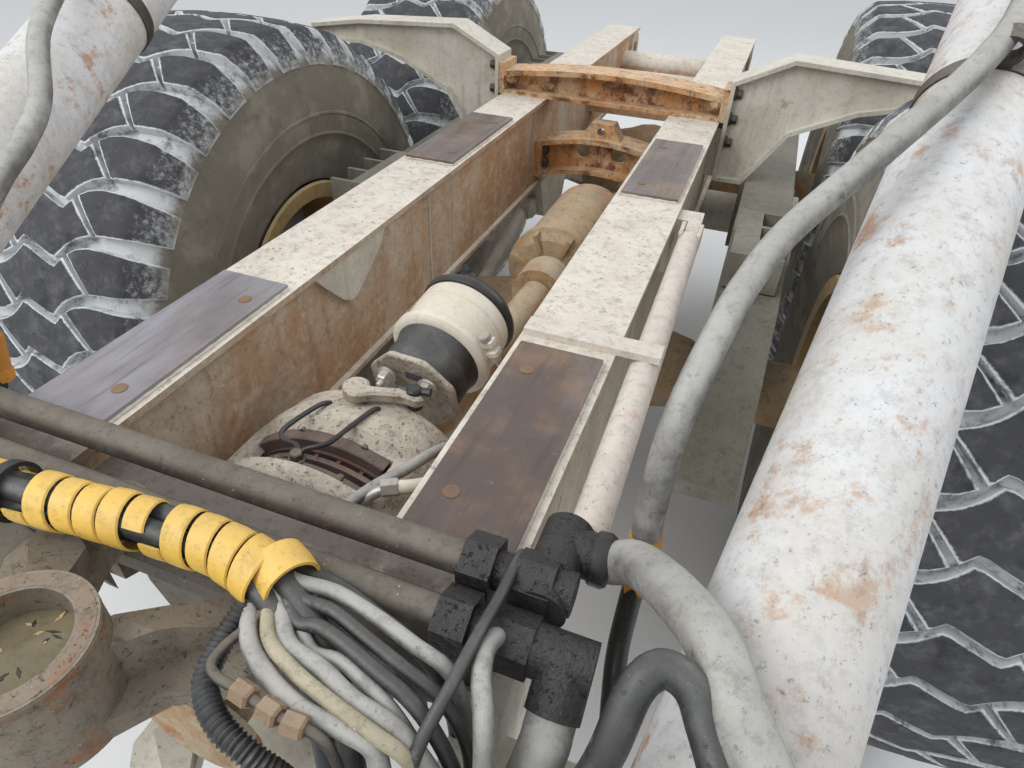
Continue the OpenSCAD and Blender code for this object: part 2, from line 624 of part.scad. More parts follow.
// Feed hoses: one over the right hoist cylinder to its bracket, one down beside it
box_top = -hoist_z - hoist_ear_r + 22;
clamp_t = 14;
feed_over = [[upper_mouth_x + 0.5, -2034, 36], [upper_mouth_x + 9, -2034, 36], [upper_mouth_x + 20, -2034, 37], [476, -2044, 60], [497, -2076, 92], [526, -2116, 118], [552, -2158, 136],
             [578, -2212, 136], [622, -2258, 104], [684, -2276, 34], [716, -2266, -50], [722, -2256, -120],
             [722, -2256, -140], [722, -2256, box_top + clamp_t + 0.5]];
feed_down = [[444, -2190.5, 3.6], [444, -2198.9, -1.9], [444, -2210.6, -9.5], [438, -2232, -45], [428, -2242, -105],
             [426, -2242, -140], [426, -2242, -158], [426, -2242, box_top + 0.5]];
module feed_hoses() color(hose_grey) on_chassis() {
    hose(feed_over, 44, 3);
    hose(feed_down, 46, 3);
}

// Hose bundle: wrapped hoses that lie over the pipes, then drop to a plate in front of the right rail
bundle_start_y = -2234;
bundle_end = [288, -2292, box_top];
module hose_bundle() color("#f0c85a") on_chassis() {
    hose([[-419.5, bundle_start_y, 68], [-400, bundle_start_y, 68], [-370, bundle_start_y, 68], [-310, -2228, 68], [-220, -2214, 68], [-108, -2202, 67], [25, -2188, 67],
          [120, -2186, 66], [190, -2204, 50], [240, -2232, 12], [276, -2272, -60], [288, -2292, -125],
          [288, -2292, -143], bundle_end + [0, 0, clamp_t + 0.5]], 56, 3);
}

// Hose clamps: plates that hold the ends of the hoses
module hose_clamps() color(paint) on_chassis() {
    translate([-420 - clamp_t, bundle_start_y - 42, shelf_z - 2]) cube([clamp_t, 84, 180]);
    translate([-420, bundle_start_y - 42, shelf_z - 2]) cube([420 - web_out, 50, 12]);
    translate([bundle_end.x - 62, bundle_end.y - 50, box_top]) cube([web_out - bundle_end.x + 62, 100, clamp_t]);
    // foot of the hose that crosses the cylinder
    translate([640, -2300, box_top]) cube([120, 90, clamp_t]);
}

// Prop brackets: an eye on an arm from the side plate of the right rail
prop_pin_r = 12;
prop_bar_t = 12;
prop_z = seat - prop_d / 2;
prop_pin = [403, -1062, prop_z];
prop_end = [415, -1062 - prop_l, prop_z];
prop_dir = unit(prop_end - prop_pin);
prop_ear_w = 28;
module prop_brackets() color(paint) on_chassis() difference() {
    union() {
        translate([web_out, prop_pin.y - 10, -120]) cube([12, 130, 120 - flange_t]);
        translate([web_out, prop_pin.y + 50, prop_z - 22]) cube([prop_pin.x + prop_ear_w / 2 - web_out, 60, 32]);
        translate([prop_pin.x - prop_ear_w / 2, prop_pin.y, prop_z - 22]) cube([prop_ear_w, 60, 32]);
        rod_x([prop_pin.x - prop_ear_w / 2, prop_pin.y, prop_z], prop_ear_w, 22);
    }
    rod_x([prop_pin.x - prop_ear_w / 2 - 1, prop_pin.y, prop_z], prop_ear_w + 2, prop_pin_r + fit);
    // notch for the edge of the top flange
    translate([web_out - 1, prop_pin.y - 20, -flange_t - seat]) cube([flange_out - web_out + 1 + seat, 160, 40]);
}

// Body prop: a round bar with a forked end on the pin and a flat bar that rests on the rail
prop_bar_y = -1617;
module body_prop() color("#d9d0c8") on_chassis() {
    difference() {
        union() {
            rod_between(prop_pin + 30 * prop_dir, prop_end, prop_d / 2);
            for (side = [-1, 1]) {
                rod_x([prop_pin.x + side * 19 - 4, prop_pin.y, prop_z], 8, 26);
                translate([prop_pin.x + side * 19 - 4, prop_pin.y - 50, prop_z - 22]) cube([8, 50, 44]);
            }
        }
        translate([prop_pin.x - 15, prop_pin.y - 34, prop_z - 40]) cube([30, 80, 80]);
    }
    rod_x([prop_pin.x - 23, prop_pin.y, prop_z], 46, prop_pin_r);
    translate([flange_in + 4, prop_bar_y, seat]) cube([prop_pin.x + 30 - flange_in - 4, 38, prop_bar_t]);
}

// Tyres and rims, drawn about Z with the outer side up, then laid on their axles
bead_x = rim_w / 2;
module tyre() {
    wide = tyre_w / 2;
    // half section, columns: radius, distance from the middle plane
    outer = [[tyre_r, 228], [tyre_r - 22, wide - 34], [tyre_r - 100, wide - 10], [tyre_r - 200, wide],
             [tyre_r - 300, wide - 10], [rim_flange_r + 44, bead_x + 16], [rim_flange_r + 6, bead_x + 4],
             [rim_flange_r, bead_x - seat], [seat_r + seat, bead_x - seat], [seat_r + seat, bead_x - 60]];
    inner = [[seat_r + 30, bead_x - 62], [tyre_r - 370, wide - 70], [tyre_r - 200, wide - 34],
             [tyre_r - 110, wide - 60], [tyre_r - 76, 190]];
    half = concat(outer, inner);
    // the surface that the grooves reach down to
    groove_floor = [[0, wide + 10], [tyre_r - 120, wide + 10], [tyre_r - 106, wide - 19], [tyre_r - 52, wide - 48],
                    [tyre_r - tread_depth, 216]];
    difference() {
        turned_both(half);
        difference() {
            for (i = [0 : tread_pitches - 1]) rotate([0, 0, 360 / tread_pitches * i]) tread_groove();
            turned_both(groove_floor);
        }
    }
}

// a ring turned about Z from half a section and its mirror image
module turned_both(half) {
    n = len(half);
    rotate_extrude($fn = 96) polygon(concat(half, [for (i = [n - 1 : -1 : 0]) [half[i].x, -half[i].y]]));
}

// Tread: blocks left between bent grooves that run across the tyre
tread_pitches = 36;
tread_depth = 30;
tread_pitch = 360 * tyre_r * PI / 180 / tread_pitches;
// half a groove, columns: across from the middle plane, shift round in pitches, half width
groove_half = [[48, 0.15, 10], [74, -0.08, 11], [104, -0.24, 12], [140, -0.33, 14], [178, -0.35, 16], [345, -0.35, 26]];
module tread_groove() {
    n = len(groove_half);
    line = concat([for (i = [n - 1 : -1 : 0]) [-groove_half[i][0], -groove_half[i][1], groove_half[i][2]]], groove_half);
    wide_side = [for (g = line) [g[1] * tread_pitch + g[2], g[0]]];
    near_side = [for (i = [2 * n - 1 : -1 : 0]) [line[i][1] * tread_pitch - line[i][2], line[i][0]]];
    translate([tyre_r - 110, 0, 0]) rotate([90, 0, 90]) linear_extrude(130) polygon(concat(wide_side, near_side));
}

rim_t = 14;
module rim() difference() {
    union() {
        rotate_extrude($fn = 96) polygon([
            [seat_r, -bead_x], [rim_flange_r - 8, -bead_x], [rim_flange_r, -bead_x - 8], [rim_flange_r - 6, -bead_x - 16],
            [seat_r - rim_t, -bead_x - 10], [seat_r - rim_t, bead_x + 10], [rim_flange_r - 6, bead_x + 16],
            [rim_flange_r, bead_x + 8], [rim_flange_r - 8, bead_x], [seat_r, bead_x]]);
        // mounting disc and hub
        rotate_extrude($fn = 96) polygon([
            [spindle_r + fit, -58], [150, -58], [172, -40], [172, 70], [seat_r - rim_t + 1, 92], [seat_r - rim_t + 1, 116],
            [180, 96], [176, 190], [150, 215], [60, 222], [60, 45], [spindle_r + fit, 45]]);
        translate([0, 0, 190]) cylinder(h = 32, r = 62);
    }
    for (i = [0 : 19]) rotate([0, 0, 18 * i]) translate([225, 0, 60]) cylinder(h = 80, r = 11, $fn = 16);
}

// columns: side, end
wheel_ends = [[-1, -1], [1, -1], [-1, 1], [1, 1]];
module at_wheel(i) on_chassis() translate([wheel_ends[i][0] * track / 2, wheel_ends[i][1] * axle_y, axle_z])
    rotate([0, 90 * wheel_ends[i][0], 0]) children();

module tyre_front_left() color(tyre_black) at_wheel(0) tyre();
module tyre_front_right() color(tyre_black) at_wheel(1) tyre();
module tyre_rear_left() color(tyre_black) at_wheel(2) tyre();
module tyre_rear_right() color(tyre_black) at_wheel(3) tyre();
module rim_front_left() color(rim_tan) at_wheel(0) rim();
module rim_front_right() color(rim_tan) at_wheel(1) rim();
module rim_rear_left() color(rim_tan) at_wheel(2) rim();
module rim_rear_right() color(rim_tan) at_wheel(3) rim();

// Hoist cylinders, drawn along +Z from the base pin, then turned to their splay and rise
barrel_l = hoist_open - hoist_stroke - 150;
module at_hoist() translate([hoist_x, -hoist_y, -hoist_z]) rotate([0, 0, -hoist_splay]) rotate([hoist_rise - 90, 0, 0])
    children();

barrel_wall = 14;
neck_l = hoist_ear_r + 18;
gland_l = 80;
port_l = 52;
port_out = 60;
module hoist_barrel() at_hoist() {
    difference() {
        union() {
            translate([0, 0, neck_l]) cylinder(h = barrel_l - neck_l, r = barrel_d / 2);
            translate([0, 0, barrel_l]) cylinder(h = 60, r = barrel_d / 2 + 8);
            rod_x([-ear_gap / 2 + 2, 0, 0], ear_gap - 4, 66);
            translate([-ear_gap / 2 + 2, -60, 0]) cube([ear_gap - 4, 120, neck_l + 10]);
            // port block on top of the head
            translate([-26, -barrel_d / 2 - port_out, barrel_l - port_l]) cube([52, port_out + 20, port_l]);
            translate(base_port) cube([56, 64, 54]);
        }
        rod_x([-100, 0, 0], 200, hoist_pin_d / 2 + fit);
        translate([0, 0, neck_l + 40]) cylinder(h = barrel_l - gland_l - neck_l - 40, r = barrel_d / 2 - barrel_wall);
        translate([0, 0, barrel_l - gland_l - 1]) cylinder(h = 200, r = hoist_rod_d / 2 + fit);
    }
}

module hoist_rod() at_hoist() {
    piston_l = 60;
    piston_z = barrel_l - gland_l - 10 - piston_l;
    translate([0, 0, piston_z]) cylinder(h = hoist_open - piston_z - 50, r = hoist_rod_d / 2);
    translate([0, 0, piston_z]) cylinder(h = piston_l, r = barrel_d / 2 - barrel_wall - 0.1);
    difference() {
        union() {
            translate([0, 0, hoist_open]) rod_x([-42, 0, 0], 84, 66);
            translate([-42, -50, hoist_open - 75]) cube([84, 100, 60]);
        }
        translate([0, 0, hoist_open]) rod_x([-50, 0, 0], 100, hoist_pin_d / 2);
    }
}

module hoist_barrel_left() color("#b9bcc0") on_chassis() on_side(-1) hoist_barrel();
module hoist_barrel_right() color("#b9bcc0") on_chassis() hoist_barrel();
module hoist_rod_left() color("#d5d8da") on_chassis() on_side(-1) hoist_rod();
module hoist_rod_right() color("#d5d8da") on_chassis() hoist_rod();

// Hoist hoses: from a port near the base eye, up beside the barrel and along its top to the port on its head
hoist_hose_d = 32;
base_port = [-114, -24, 180];
head_port_y = -barrel_d / 2 - 22;
head_port_z = barrel_l - port_l - 0.5;
// columns: to the side, up and along, from the base pin
hoist_route = [[-90, -40.5, 207], [-90, -50, 207], [-90, -60, 207], [-93, -84, 214], [-112, -118, 262], [-142, -128, 340], [-152, -100, 395],
               [-155, -55, 440], [-160, 10, 480], [-163, 75, 545], [-162, 95, 640], [-158, 97, 720], [-140, 102, 805],
               [-80, 124, 940], [-22, 112, 1130], [0, -head_port_y, 0.56 * head_port_z],
               [0, -head_port_y, 0.73 * head_port_z], [0, -head_port_y, 0.9 * head_port_z], [0, -head_port_y, head_port_z]];
module hoist_hose() at_hoist() hose([for (p = hoist_route) [p[0], -p[1], p[2]]], hoist_hose_d, 2);
module hoist_hose_left() color(hose_grey) on_chassis() on_side(-1) hoist_hose();
module hoist_hose_right() color(hose_grey) on_chassis() hoist_hose();

rail_left();
rail_right();
front_crossmember();
yoke_upper();
yoke_lower();
crossmember_upper();
crossmember_lower();
rear_crossmember();
outrigger_left();
outrigger_right();
wear_pads();
web_brackets();
axle_front();
axle_rear();
bogie_beam_left();
bogie_beam_right();
bogie_pivot();
torque_rods();
propshafts();
brake_disc();
brake_caliper();
brake_chamber();
wheel_brakes();
hoist_brackets();
cross_pipes();
pipe_fittings();
feed_hoses();
hose_bundle();
hose_clamps();
prop_brackets();
body_prop();
tyre_front_left();
tyre_front_right();
tyre_rear_left();
tyre_rear_right();
rim_front_left();
rim_front_right();
rim_rear_left();
rim_rear_right();
hoist_barrel_left();
hoist_barrel_right();
hoist_rod_left();
hoist_rod_right();
hoist_hose_left();
hoist_hose_right();
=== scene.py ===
"""Dresses the rear chassis of an articulated dump truck: tyres, hoses, brake, castings, dirt, camera and light.

Lengths in the classes are millimetres in the chassis frame, whose origin lies on the rail tops at the bogie
centre, with +X to the right, +Y to the rear and +Z up. The function to_part turns them into the part's metres.
"""
import json
import logging
import math
from dataclasses import dataclass
from enum import Enum

import bmesh
import bpy
import numpy as np
from mathutils import Matrix


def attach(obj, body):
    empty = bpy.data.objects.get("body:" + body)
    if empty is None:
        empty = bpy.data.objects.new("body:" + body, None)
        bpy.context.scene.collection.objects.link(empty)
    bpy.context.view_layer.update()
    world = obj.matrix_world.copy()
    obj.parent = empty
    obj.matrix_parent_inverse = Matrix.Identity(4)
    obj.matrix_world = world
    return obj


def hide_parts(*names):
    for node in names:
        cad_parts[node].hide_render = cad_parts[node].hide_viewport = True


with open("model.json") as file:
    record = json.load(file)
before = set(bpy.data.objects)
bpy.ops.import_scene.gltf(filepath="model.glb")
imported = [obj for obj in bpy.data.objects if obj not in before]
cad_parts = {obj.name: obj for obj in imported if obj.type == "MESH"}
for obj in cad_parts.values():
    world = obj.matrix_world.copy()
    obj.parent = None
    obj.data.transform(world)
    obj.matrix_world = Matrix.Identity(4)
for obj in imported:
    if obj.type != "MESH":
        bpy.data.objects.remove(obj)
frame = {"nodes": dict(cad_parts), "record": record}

Array = np.ndarray
Socket = bpy.types.NodeSocket
LOG = logging.getLogger("rear_chassis")
# where the chassis origin lies in the part's frame, in metres
ORIGIN = np.array([0.0, 0.44868249735, 1.346])
# millimetres between the tyres' middle planes, from the bogie centre to an axle, and from the rail tops to the axles
TRACK, AXLE_Y, AXLE_Z = 2070.0, 835.0, -546.0
UP = (0, 0, 1)
# metres within which points are one, and under which an edge is dropped
MERGE, SLIVER = 2e-6, 1e-6
# the upright plane across the machine, in which the brake's outlines are drawn; its normal points forward
CROSSWISE = ((1, 0, 0), (0, 0, 1))


def to_part(points: Array) -> Array:
    """Turns chassis millimetres into part metres: divide by 1000, then add the offset of the chassis origin.

    Args:
        points: an array of points, one per row.

    Returns:
        The same points in metres in the part's frame.
    """
    return np.asarray(points, float) / 1000.0 + ORIGIN


# Surfaces worked out as whole arrays

def unit(v: Array) -> Array:
    """Scales each vector to length 1."""
    v = np.asarray(v, float)
    return v / np.maximum(np.linalg.norm(v, axis=-1, keepdims=True), 1e-12)


def basis(axis: Array) -> tuple[Array, Array, Array]:
    """Finds two directions square to an axis, the second one leaning up, or to the rear where the axis is upright.

    Args:
        axis: the direction that the third vector takes.

    Returns:
        Three unit vectors u, v, w, with w along the axis and u = v x w.
    """
    w = unit(axis)
    h = np.array([0.0, 1.0, 0.0] if abs(w[2]) > 0.95 else [0.0, 0.0, 1.0])
    v = unit(h - (h @ w) * w)
    return np.cross(v, w), v, w


def grid_faces(rows: int, cols: int, wrap_rows: bool = False, wrap_cols: bool = False) -> Array:
    """Numbers the quads of a grid of points: cell i, j joins points (i, j), (i+1, j), (i+1, j+1), (i, j+1).

    Args:
        rows: points along the first parameter.
        cols: points along the second parameter.
        wrap_rows: joins the last row to the first.
        wrap_cols: joins the last column to the first.

    Returns:
        One row of four point numbers for each quad.
    """
    i, j = np.meshgrid(np.arange(rows - (not wrap_rows)), np.arange(cols - (not wrap_cols)), indexing="ij")
    k, m = (i + 1) % rows, (j + 1) % cols
    return np.stack([i * cols + j, k * cols + j, k * cols + m, i * cols + m], -1).reshape(-1, 4)


def spline(points: Array, per_span: int) -> Array:
    """Runs a smooth curve through points: each span is the cubic whose slopes at its ends are half the chords
    between their neighbours.

    Args:
        points: the points that the curve passes.
        per_span: samples on each span.

    Returns:
        The samples in order, with the last point included.
    """
    p = np.asarray(points, float)
    a, b = np.vstack([p[:1], p[:-2]]), p[:-1]
    c, d = p[1:], np.vstack([p[2:], p[-1:]])
    t = (np.arange(per_span) / per_span)[None, :, None]
    a, b, c, d = (q[:, None, :] for q in (a, b, c, d))
    s = 0.5 * (2 * b + (c - a) * t + (2 * a - 5 * b + 4 * c - d) * t ** 2 + (3 * b - a - 3 * c + d) * t ** 3)
    return np.vstack([s.reshape(-1, p.shape[1]), p[-1:]])


def carried_frames(path: Array) -> tuple[Array, Array]:
    """Gives each station of a path two side directions that turn as little as they can.

    The first side direction is the one the path runs along least; at each station the part along the tangent is
    taken off it, and the second is tangent x first.

    Args:
        path: stations in order.

    Returns:
        Two arrays of unit vectors, one row per station.
    """
    t = unit(np.gradient(path, axis=0))
    least = np.linalg.eigh(t.T @ t)[1][:, 0]
    n = unit(least - (t @ least)[:, None] * t)
    return n, np.cross(t, n)


def run_along(path: Array) -> Array:
    """Gives the distance along a path at each of its stations, from 0."""
    return np.concatenate([[0], np.cumsum(np.linalg.norm(np.diff(path, axis=0), axis=1))])


def at_run(rows: Array, run: Array, where: Array) -> Array:
    """Reads points or directions, known at the distances run, at other distances."""
    return np.stack([np.interp(where, run, rows[:, k]) for k in range(3)], -1)


def inset(outline: Array, by: float) -> Array:
    """Moves a closed outline inwards: each corner goes along the sum of its two edge normals, divided by one plus
    their product, so that both edges move by the same amount.

    Args:
        outline: corners in the plane, in order.
        by: how far the edges move.

    Returns:
        The moved corners.
    """
    p = np.asarray(outline, float)
    e = unit(np.roll(p, -1, 0) - p)
    f = np.roll(e, 1, 0)
    turn = np.sign(np.sum(p[:, 0] * np.roll(p[:, 1], -1) - p[:, 1] * np.roll(p[:, 0], -1)))
    ne, nf = (np.stack([-q[:, 1], q[:, 0]], 1) * turn for q in (e, f))
    return p + by * (ne + nf) / np.maximum(1 + np.sum(ne * nf, 1, keepdims=True), 0.4)


def rounded(outline: Array, radius: float, steps: int = 4) -> Array:
    """Rounds the corners of an outline: each corner becomes a quadratic curve between points a radius away on
    both edges, with the corner as its middle control point.

    Args:
        outline: corners in the plane, in order.
        radius: how far from the corner the curve starts, less where an edge is short.
        steps: spans on each curve.

    Returns:
        The new outline.
    """
    p = np.asarray(outline, float)
    back, ahead = np.roll(p, 1, 0) - p, np.roll(p, -1, 0) - p
    lb, la = (np.linalg.norm(q, axis=1, keepdims=True) for q in (back, ahead))
    a = p + back / lb * np.minimum(radius, lb * 0.45)
    b = p + ahead / la * np.minimum(radius, la * 0.45)
    t = np.linspace(0, 1, steps + 1)[None, :, None]
    curve = (1 - t) ** 2 * a[:, None] + 2 * t * (1 - t) * p[:, None] + t ** 2 * b[:, None]
    return curve.reshape(-1, p.shape[1])


def turns(count: int, offset: float = 0.0) -> Array:
    """Gives count angles evenly round a full turn, the first one offset steps past zero."""
    return (np.arange(count) + offset) * 2 * math.pi / count


def around(angles: Array, u: Array, v: Array) -> Array:
    """Turns from u towards v by each angle: cos a * u + sin a * v."""
    return np.cos(angles)[..., None] * u + np.sin(angles)[..., None] * v


def on_circle(radius: float, angles: Array) -> Array:
    """Gives the points of a circle in the plane at the angles."""
    return radius * np.stack([np.cos(angles), np.sin(angles)], -1)


def arc(radius: float, start: float, stop: float, count: int) -> Array:
    """Gives count points in the plane on an arc between two angles in degrees."""
    return on_circle(radius, np.radians(np.linspace(start, stop, count)))


def lookup(table: tuple, at: Array, column: int) -> Array:
    """Reads a column of a table where its first column has the size of each value, whatever the value's sign."""
    rows = np.array(table, float)
    return np.interp(np.abs(at), rows[:, 0], rows[:, column])


def link(name: str, data: bpy.types.ID) -> bpy.types.Object:
    """Makes an object and puts it in the scene.

    Args:
        name: the object's name.
        data: its mesh, lamp or camera.

    Returns:
        The object.
    """
    obj = bpy.data.objects.new(name, data)
    bpy.context.scene.collection.objects.link(obj)
    return obj


def stand(obj: bpy.types.Object, right: Array, up: Array, back: Array, at: Array) -> None:
    """Places a camera or lamp by the directions of its axes and its place in metres.

    Args:
        obj: the camera or lamp.
        right: direction of its X axis.
        up: direction of its Y axis.
        back: direction of its Z axis, against its view.
        at: its place.
    """
    m = np.eye(4)
    m[:3, 0], m[:3, 1], m[:3, 2], m[:3, 3] = right, up, back, at
    obj.matrix_world = Matrix(m.tolist())


class Form:
    """A piece under construction: vertices in chassis millimetres, faces, finishes and painted values."""

    def __init__(self) -> None:
        """Starts with nothing."""
        self.verts: list[Array] = []
        self.faces: list[list[int]] = []
        self.marks: list[int] = []
        self.values: list[Array] = []
        self.count = 0

    def add(self, verts: Array, faces: "Array | list", mark: int = 0, values: Array | None = None) -> "Form":
        """Adds a shell.

        Args:
            verts: its points.
            faces: its faces, as point numbers.
            mark: which of the piece's finishes it takes.
            values: two painted values for each point, such as dirt and place; zeros where it is left out.

        Returns:
            The form itself.
        """
        verts = np.asarray(verts, float).reshape(-1, 3)
        rows = faces.tolist() if isinstance(faces, np.ndarray) else faces
        self.faces += [[k + self.count for k in row] for row in rows]
        self.marks += [mark] * len(rows)
        self.verts.append(verts)
        self.values.append(np.zeros((len(verts), 2)) if values is None else np.asarray(values, float).reshape(-1, 2))
        self.count += len(verts)
        return self

    def revolve(self, profile: Array, at: Array, axis: Array, sides: int = 40, mark: int = 0,
                closed: bool = False) -> "Form":
        """Turns a profile about an axis: point = at + along * w + radius * (cos a * u + sin a * v).

        Args:
            profile: rows of radius and distance along the axis.
            at: the origin on the axis.
            axis: its direction.
            sides: facets round the axis.
            mark: the finish.
            closed: set where the profile is a loop off the axis; the ends of an open one are closed on the axis.

        Returns:
            The form itself.
        """
        u, v, w = basis(axis)
        p = np.asarray(profile, float)
        if not closed:
            p = np.vstack([[0, p[0, 1]], p, [0, p[-1, 1]]])
        radius, along = p[:, 0, None, None], p[:, 1, None, None]
        pts = np.asarray(at, float) + along * w + radius * around(turns(sides), u, v)
        return self.add(pts, grid_faces(len(p), sides, closed, True), mark)

    def ring(self, profile: Array, at: Array, axis: Array, sides: int = 64, mark: int = 0) -> "Form":
        """Turns a closed profile of radius and distance along into a ring."""
        return self.revolve(profile, at, axis, sides, mark, True)

    def cap(self, sides: int, rows: int, mark: int, flip: bool = True) -> "Form":
        """Closes both ends of the grid added last, of so many rows of so many sides; flip turns the first end.

        Args:
            sides: points in a row.
            rows: rows of the grid.
            mark: the finish.
            flip: turns the face on the first row over.

        Returns:
            The form itself.
        """
        first, last = (list(range(at, at + sides)) for at in (self.count - rows * sides, self.count - sides))
        self.faces += [first[::-1] if flip else first, last]
        self.marks += [mark, mark]
        return self

    def tube(self, path: Array, radius: "float | Array", sides: int = 14, mark: int = 0) -> "Form":
        """Carries a circle along a path: point = station + radius * (cos a * n + sin a * b), with flat ends.

        Args:
            path: the stations.
            radius: one radius, or one for each station.
            sides: facets round.
            mark: the finish.

        Returns:
            The form itself.
        """
        path = np.asarray(path, float)
        n, b = carried_frames(path)
        r = np.broadcast_to(np.asarray(radius, float), (len(path),))[:, None, None]
        pts = path[:, None] + r * around(turns(sides), n[:, None], b[:, None])
        self.add(pts, grid_faces(len(path), sides, wrap_cols=True), mark)
        return self.cap(sides, len(path), mark)

    def prism(self, outline: Array, low: float, high: float, at: Array = (0, 0, 0),
              axes: tuple = ((1, 0, 0), (0, 1, 0)), bevel: float = 2.0, mark: int = 0) -> "Form":
        """Raises an outline to a plate with small bevels: four rings at low, low + bevel, high - bevel and high,
        the first and last moved inwards by the bevel.

        Args:
            outline: corners in the plate's plane.
            low: distance of one face along the plate's normal.
            high: distance of the other face.
            at: the plane's origin.
            axes: the plane's two directions; the normal is their cross product.
            bevel: width of the bevels.
            mark: the finish.

        Returns:
            The form itself.
        """
        o = np.asarray(outline, float)
        u, v = (unit(q) for q in axes)
        w = np.cross(u, v)
        rings = [(inset(o, bevel), low), (o, low + bevel), (o, high - bevel), (inset(o, bevel), high)]
        pts = np.stack([np.asarray(at, float) + r[:, :1] * u + r[:, 1:] * v + h * w for r, h in rings])
        self.add(pts, grid_faces(4, len(o), wrap_cols=True), mark)
        return self.cap(len(o), 4, mark)

    def bolt(self, at: Array, axis: Array, flats: float = 24.0, mark: int = 0, washer: bool = True,
             tip: bool = False) -> "Form":
        """Adds a hexagon bolt head on a washer, with a chamfered top, and a thread end where tip is set.

        Args:
            at: where the bolt meets the plate.
            axis: the way its head points.
            flats: width across flats.
            mark: the finish.
            washer: puts a washer under the head.
            tip: adds the thread end.

        Returns:
            The form itself.
        """
        r, h, w = flats / math.sqrt(3), flats * 0.62, unit(axis)
        lift = 3.5 if washer else 0.0
        if washer:
            self.revolve([[r * 1.3, -1], [r * 1.3, 2.5], [r * 1.22, lift]], at, w, 20, mark)
        self.revolve([[r, lift - 1], [r, lift + h * 0.82], [r * 0.85, lift + h]], at, w, 6, mark)
        if tip:
            thread = [[flats * 0.3, lift + h - 1], [flats * 0.3, lift + h + 8], [flats * 0.24, lift + h + 11]]
            self.revolve(thread, at, w, 14, mark)
        return self

    def weld(self, path: Array, radius: float = 4.0, mark: int = 0) -> "Form":
        """Lays a bead along a straight or curved path, with a station every 5 mm and two ripples in its radius.

        Args:
            path: the bead's middle line.
            radius: its mean radius.
            mark: the finish.

        Returns:
            The form itself.
        """
        path = np.asarray(path, float)
        run = run_along(path)
        u = np.linspace(0, run[-1], max(int(run[-1] / 5), 4))
        return self.tube(at_run(path, run, u), radius * (1 + 0.14 * np.cos(u * 2.3) + 0.08 * np.cos(u * 0.9)), 6, mark)

    def build(self, name: str, finishes: list, body: str, slot: str, stands_for: tuple = (),
              sharp: float = 32.0) -> None:
        """Makes the piece: doubles are merged, faces turned outwards, finishes and painted values stored.

        Args:
            name: the piece's name.
            finishes: its finishes, in the order of the marks.
            body: the CAD body that it rides on.
            slot: the record's material slot; not used.
            stands_for: CAD nodes that it replaces.
            sharp: edges sharper than this many degrees stay crisp.
        """
        mesh = bpy.data.meshes.new(name)
        mesh.from_pydata(to_part(np.vstack(self.verts)), [], self.faces)
        mesh.polygons.foreach_set("material_index", np.asarray(self.marks, np.int32))
        vals = np.vstack(self.values)
        for key, column in (("soil", 0), ("place", 1)):
            mesh.attributes.new(key, "FLOAT", "POINT").data.foreach_set("value", vals[:, column].astype(np.float32))
        bm = bmesh.new()
        bm.from_mesh(mesh)
        bmesh.ops.remove_doubles(bm, verts=bm.verts, dist=MERGE)
        bmesh.ops.dissolve_degenerate(bm, edges=bm.edges, dist=SLIVER)
        bmesh.ops.recalc_face_normals(bm, faces=bm.faces)
        bm.to_mesh(mesh)
        bm.free()
        mesh.polygons.foreach_set("use_smooth", np.ones(len(mesh.polygons), bool))
        mesh.set_sharp_from_angle(angle=math.radians(sharp))
        obj = link(name, mesh)
        for finish in finishes:
            mesh.materials.append(finish.material())
        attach(obj, body)
        if stands_for:
            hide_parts(*stands_for)
        LOG.info("%s: %d faces on %s", name, len(mesh.polygons), body)


# Finishes

def linear(code: str) -> tuple[float, float, float, float]:
    """Turns an sRGB hex value into linear red, green, blue and an alpha of 1.

    Args:
        code: the hex value with its leading sign.

    Returns:
        The four values.
    """
    c = np.array([int(code[k:k + 2], 16) for k in (1, 3, 5)]) / 255.0
    c = np.where(c <= 0.04045, c / 12.92, ((c + 0.055) / 1.055) ** 2.4)
    return (*map(float, c), 1.0)


def add_node(tree: bpy.types.NodeTree, kind: str, inputs: dict | None = None, **settings) -> bpy.types.Node:
    """Adds one node.

    Args:
        tree: the material's node tree.
        kind: the node's type name.
        inputs: for each input, by name or number, a value or the output that feeds it.
        settings: properties of the node.

    Returns:
        The node.
    """
    node = tree.nodes.new(kind)
    for key, value in settings.items():
        setattr(node, key, value)
    for key, value in (inputs or {}).items():
        if isinstance(value, bpy.types.NodeSocket):
            tree.links.new(value, node.inputs[key])
        else:
            node.inputs[key].default_value = value
    return node


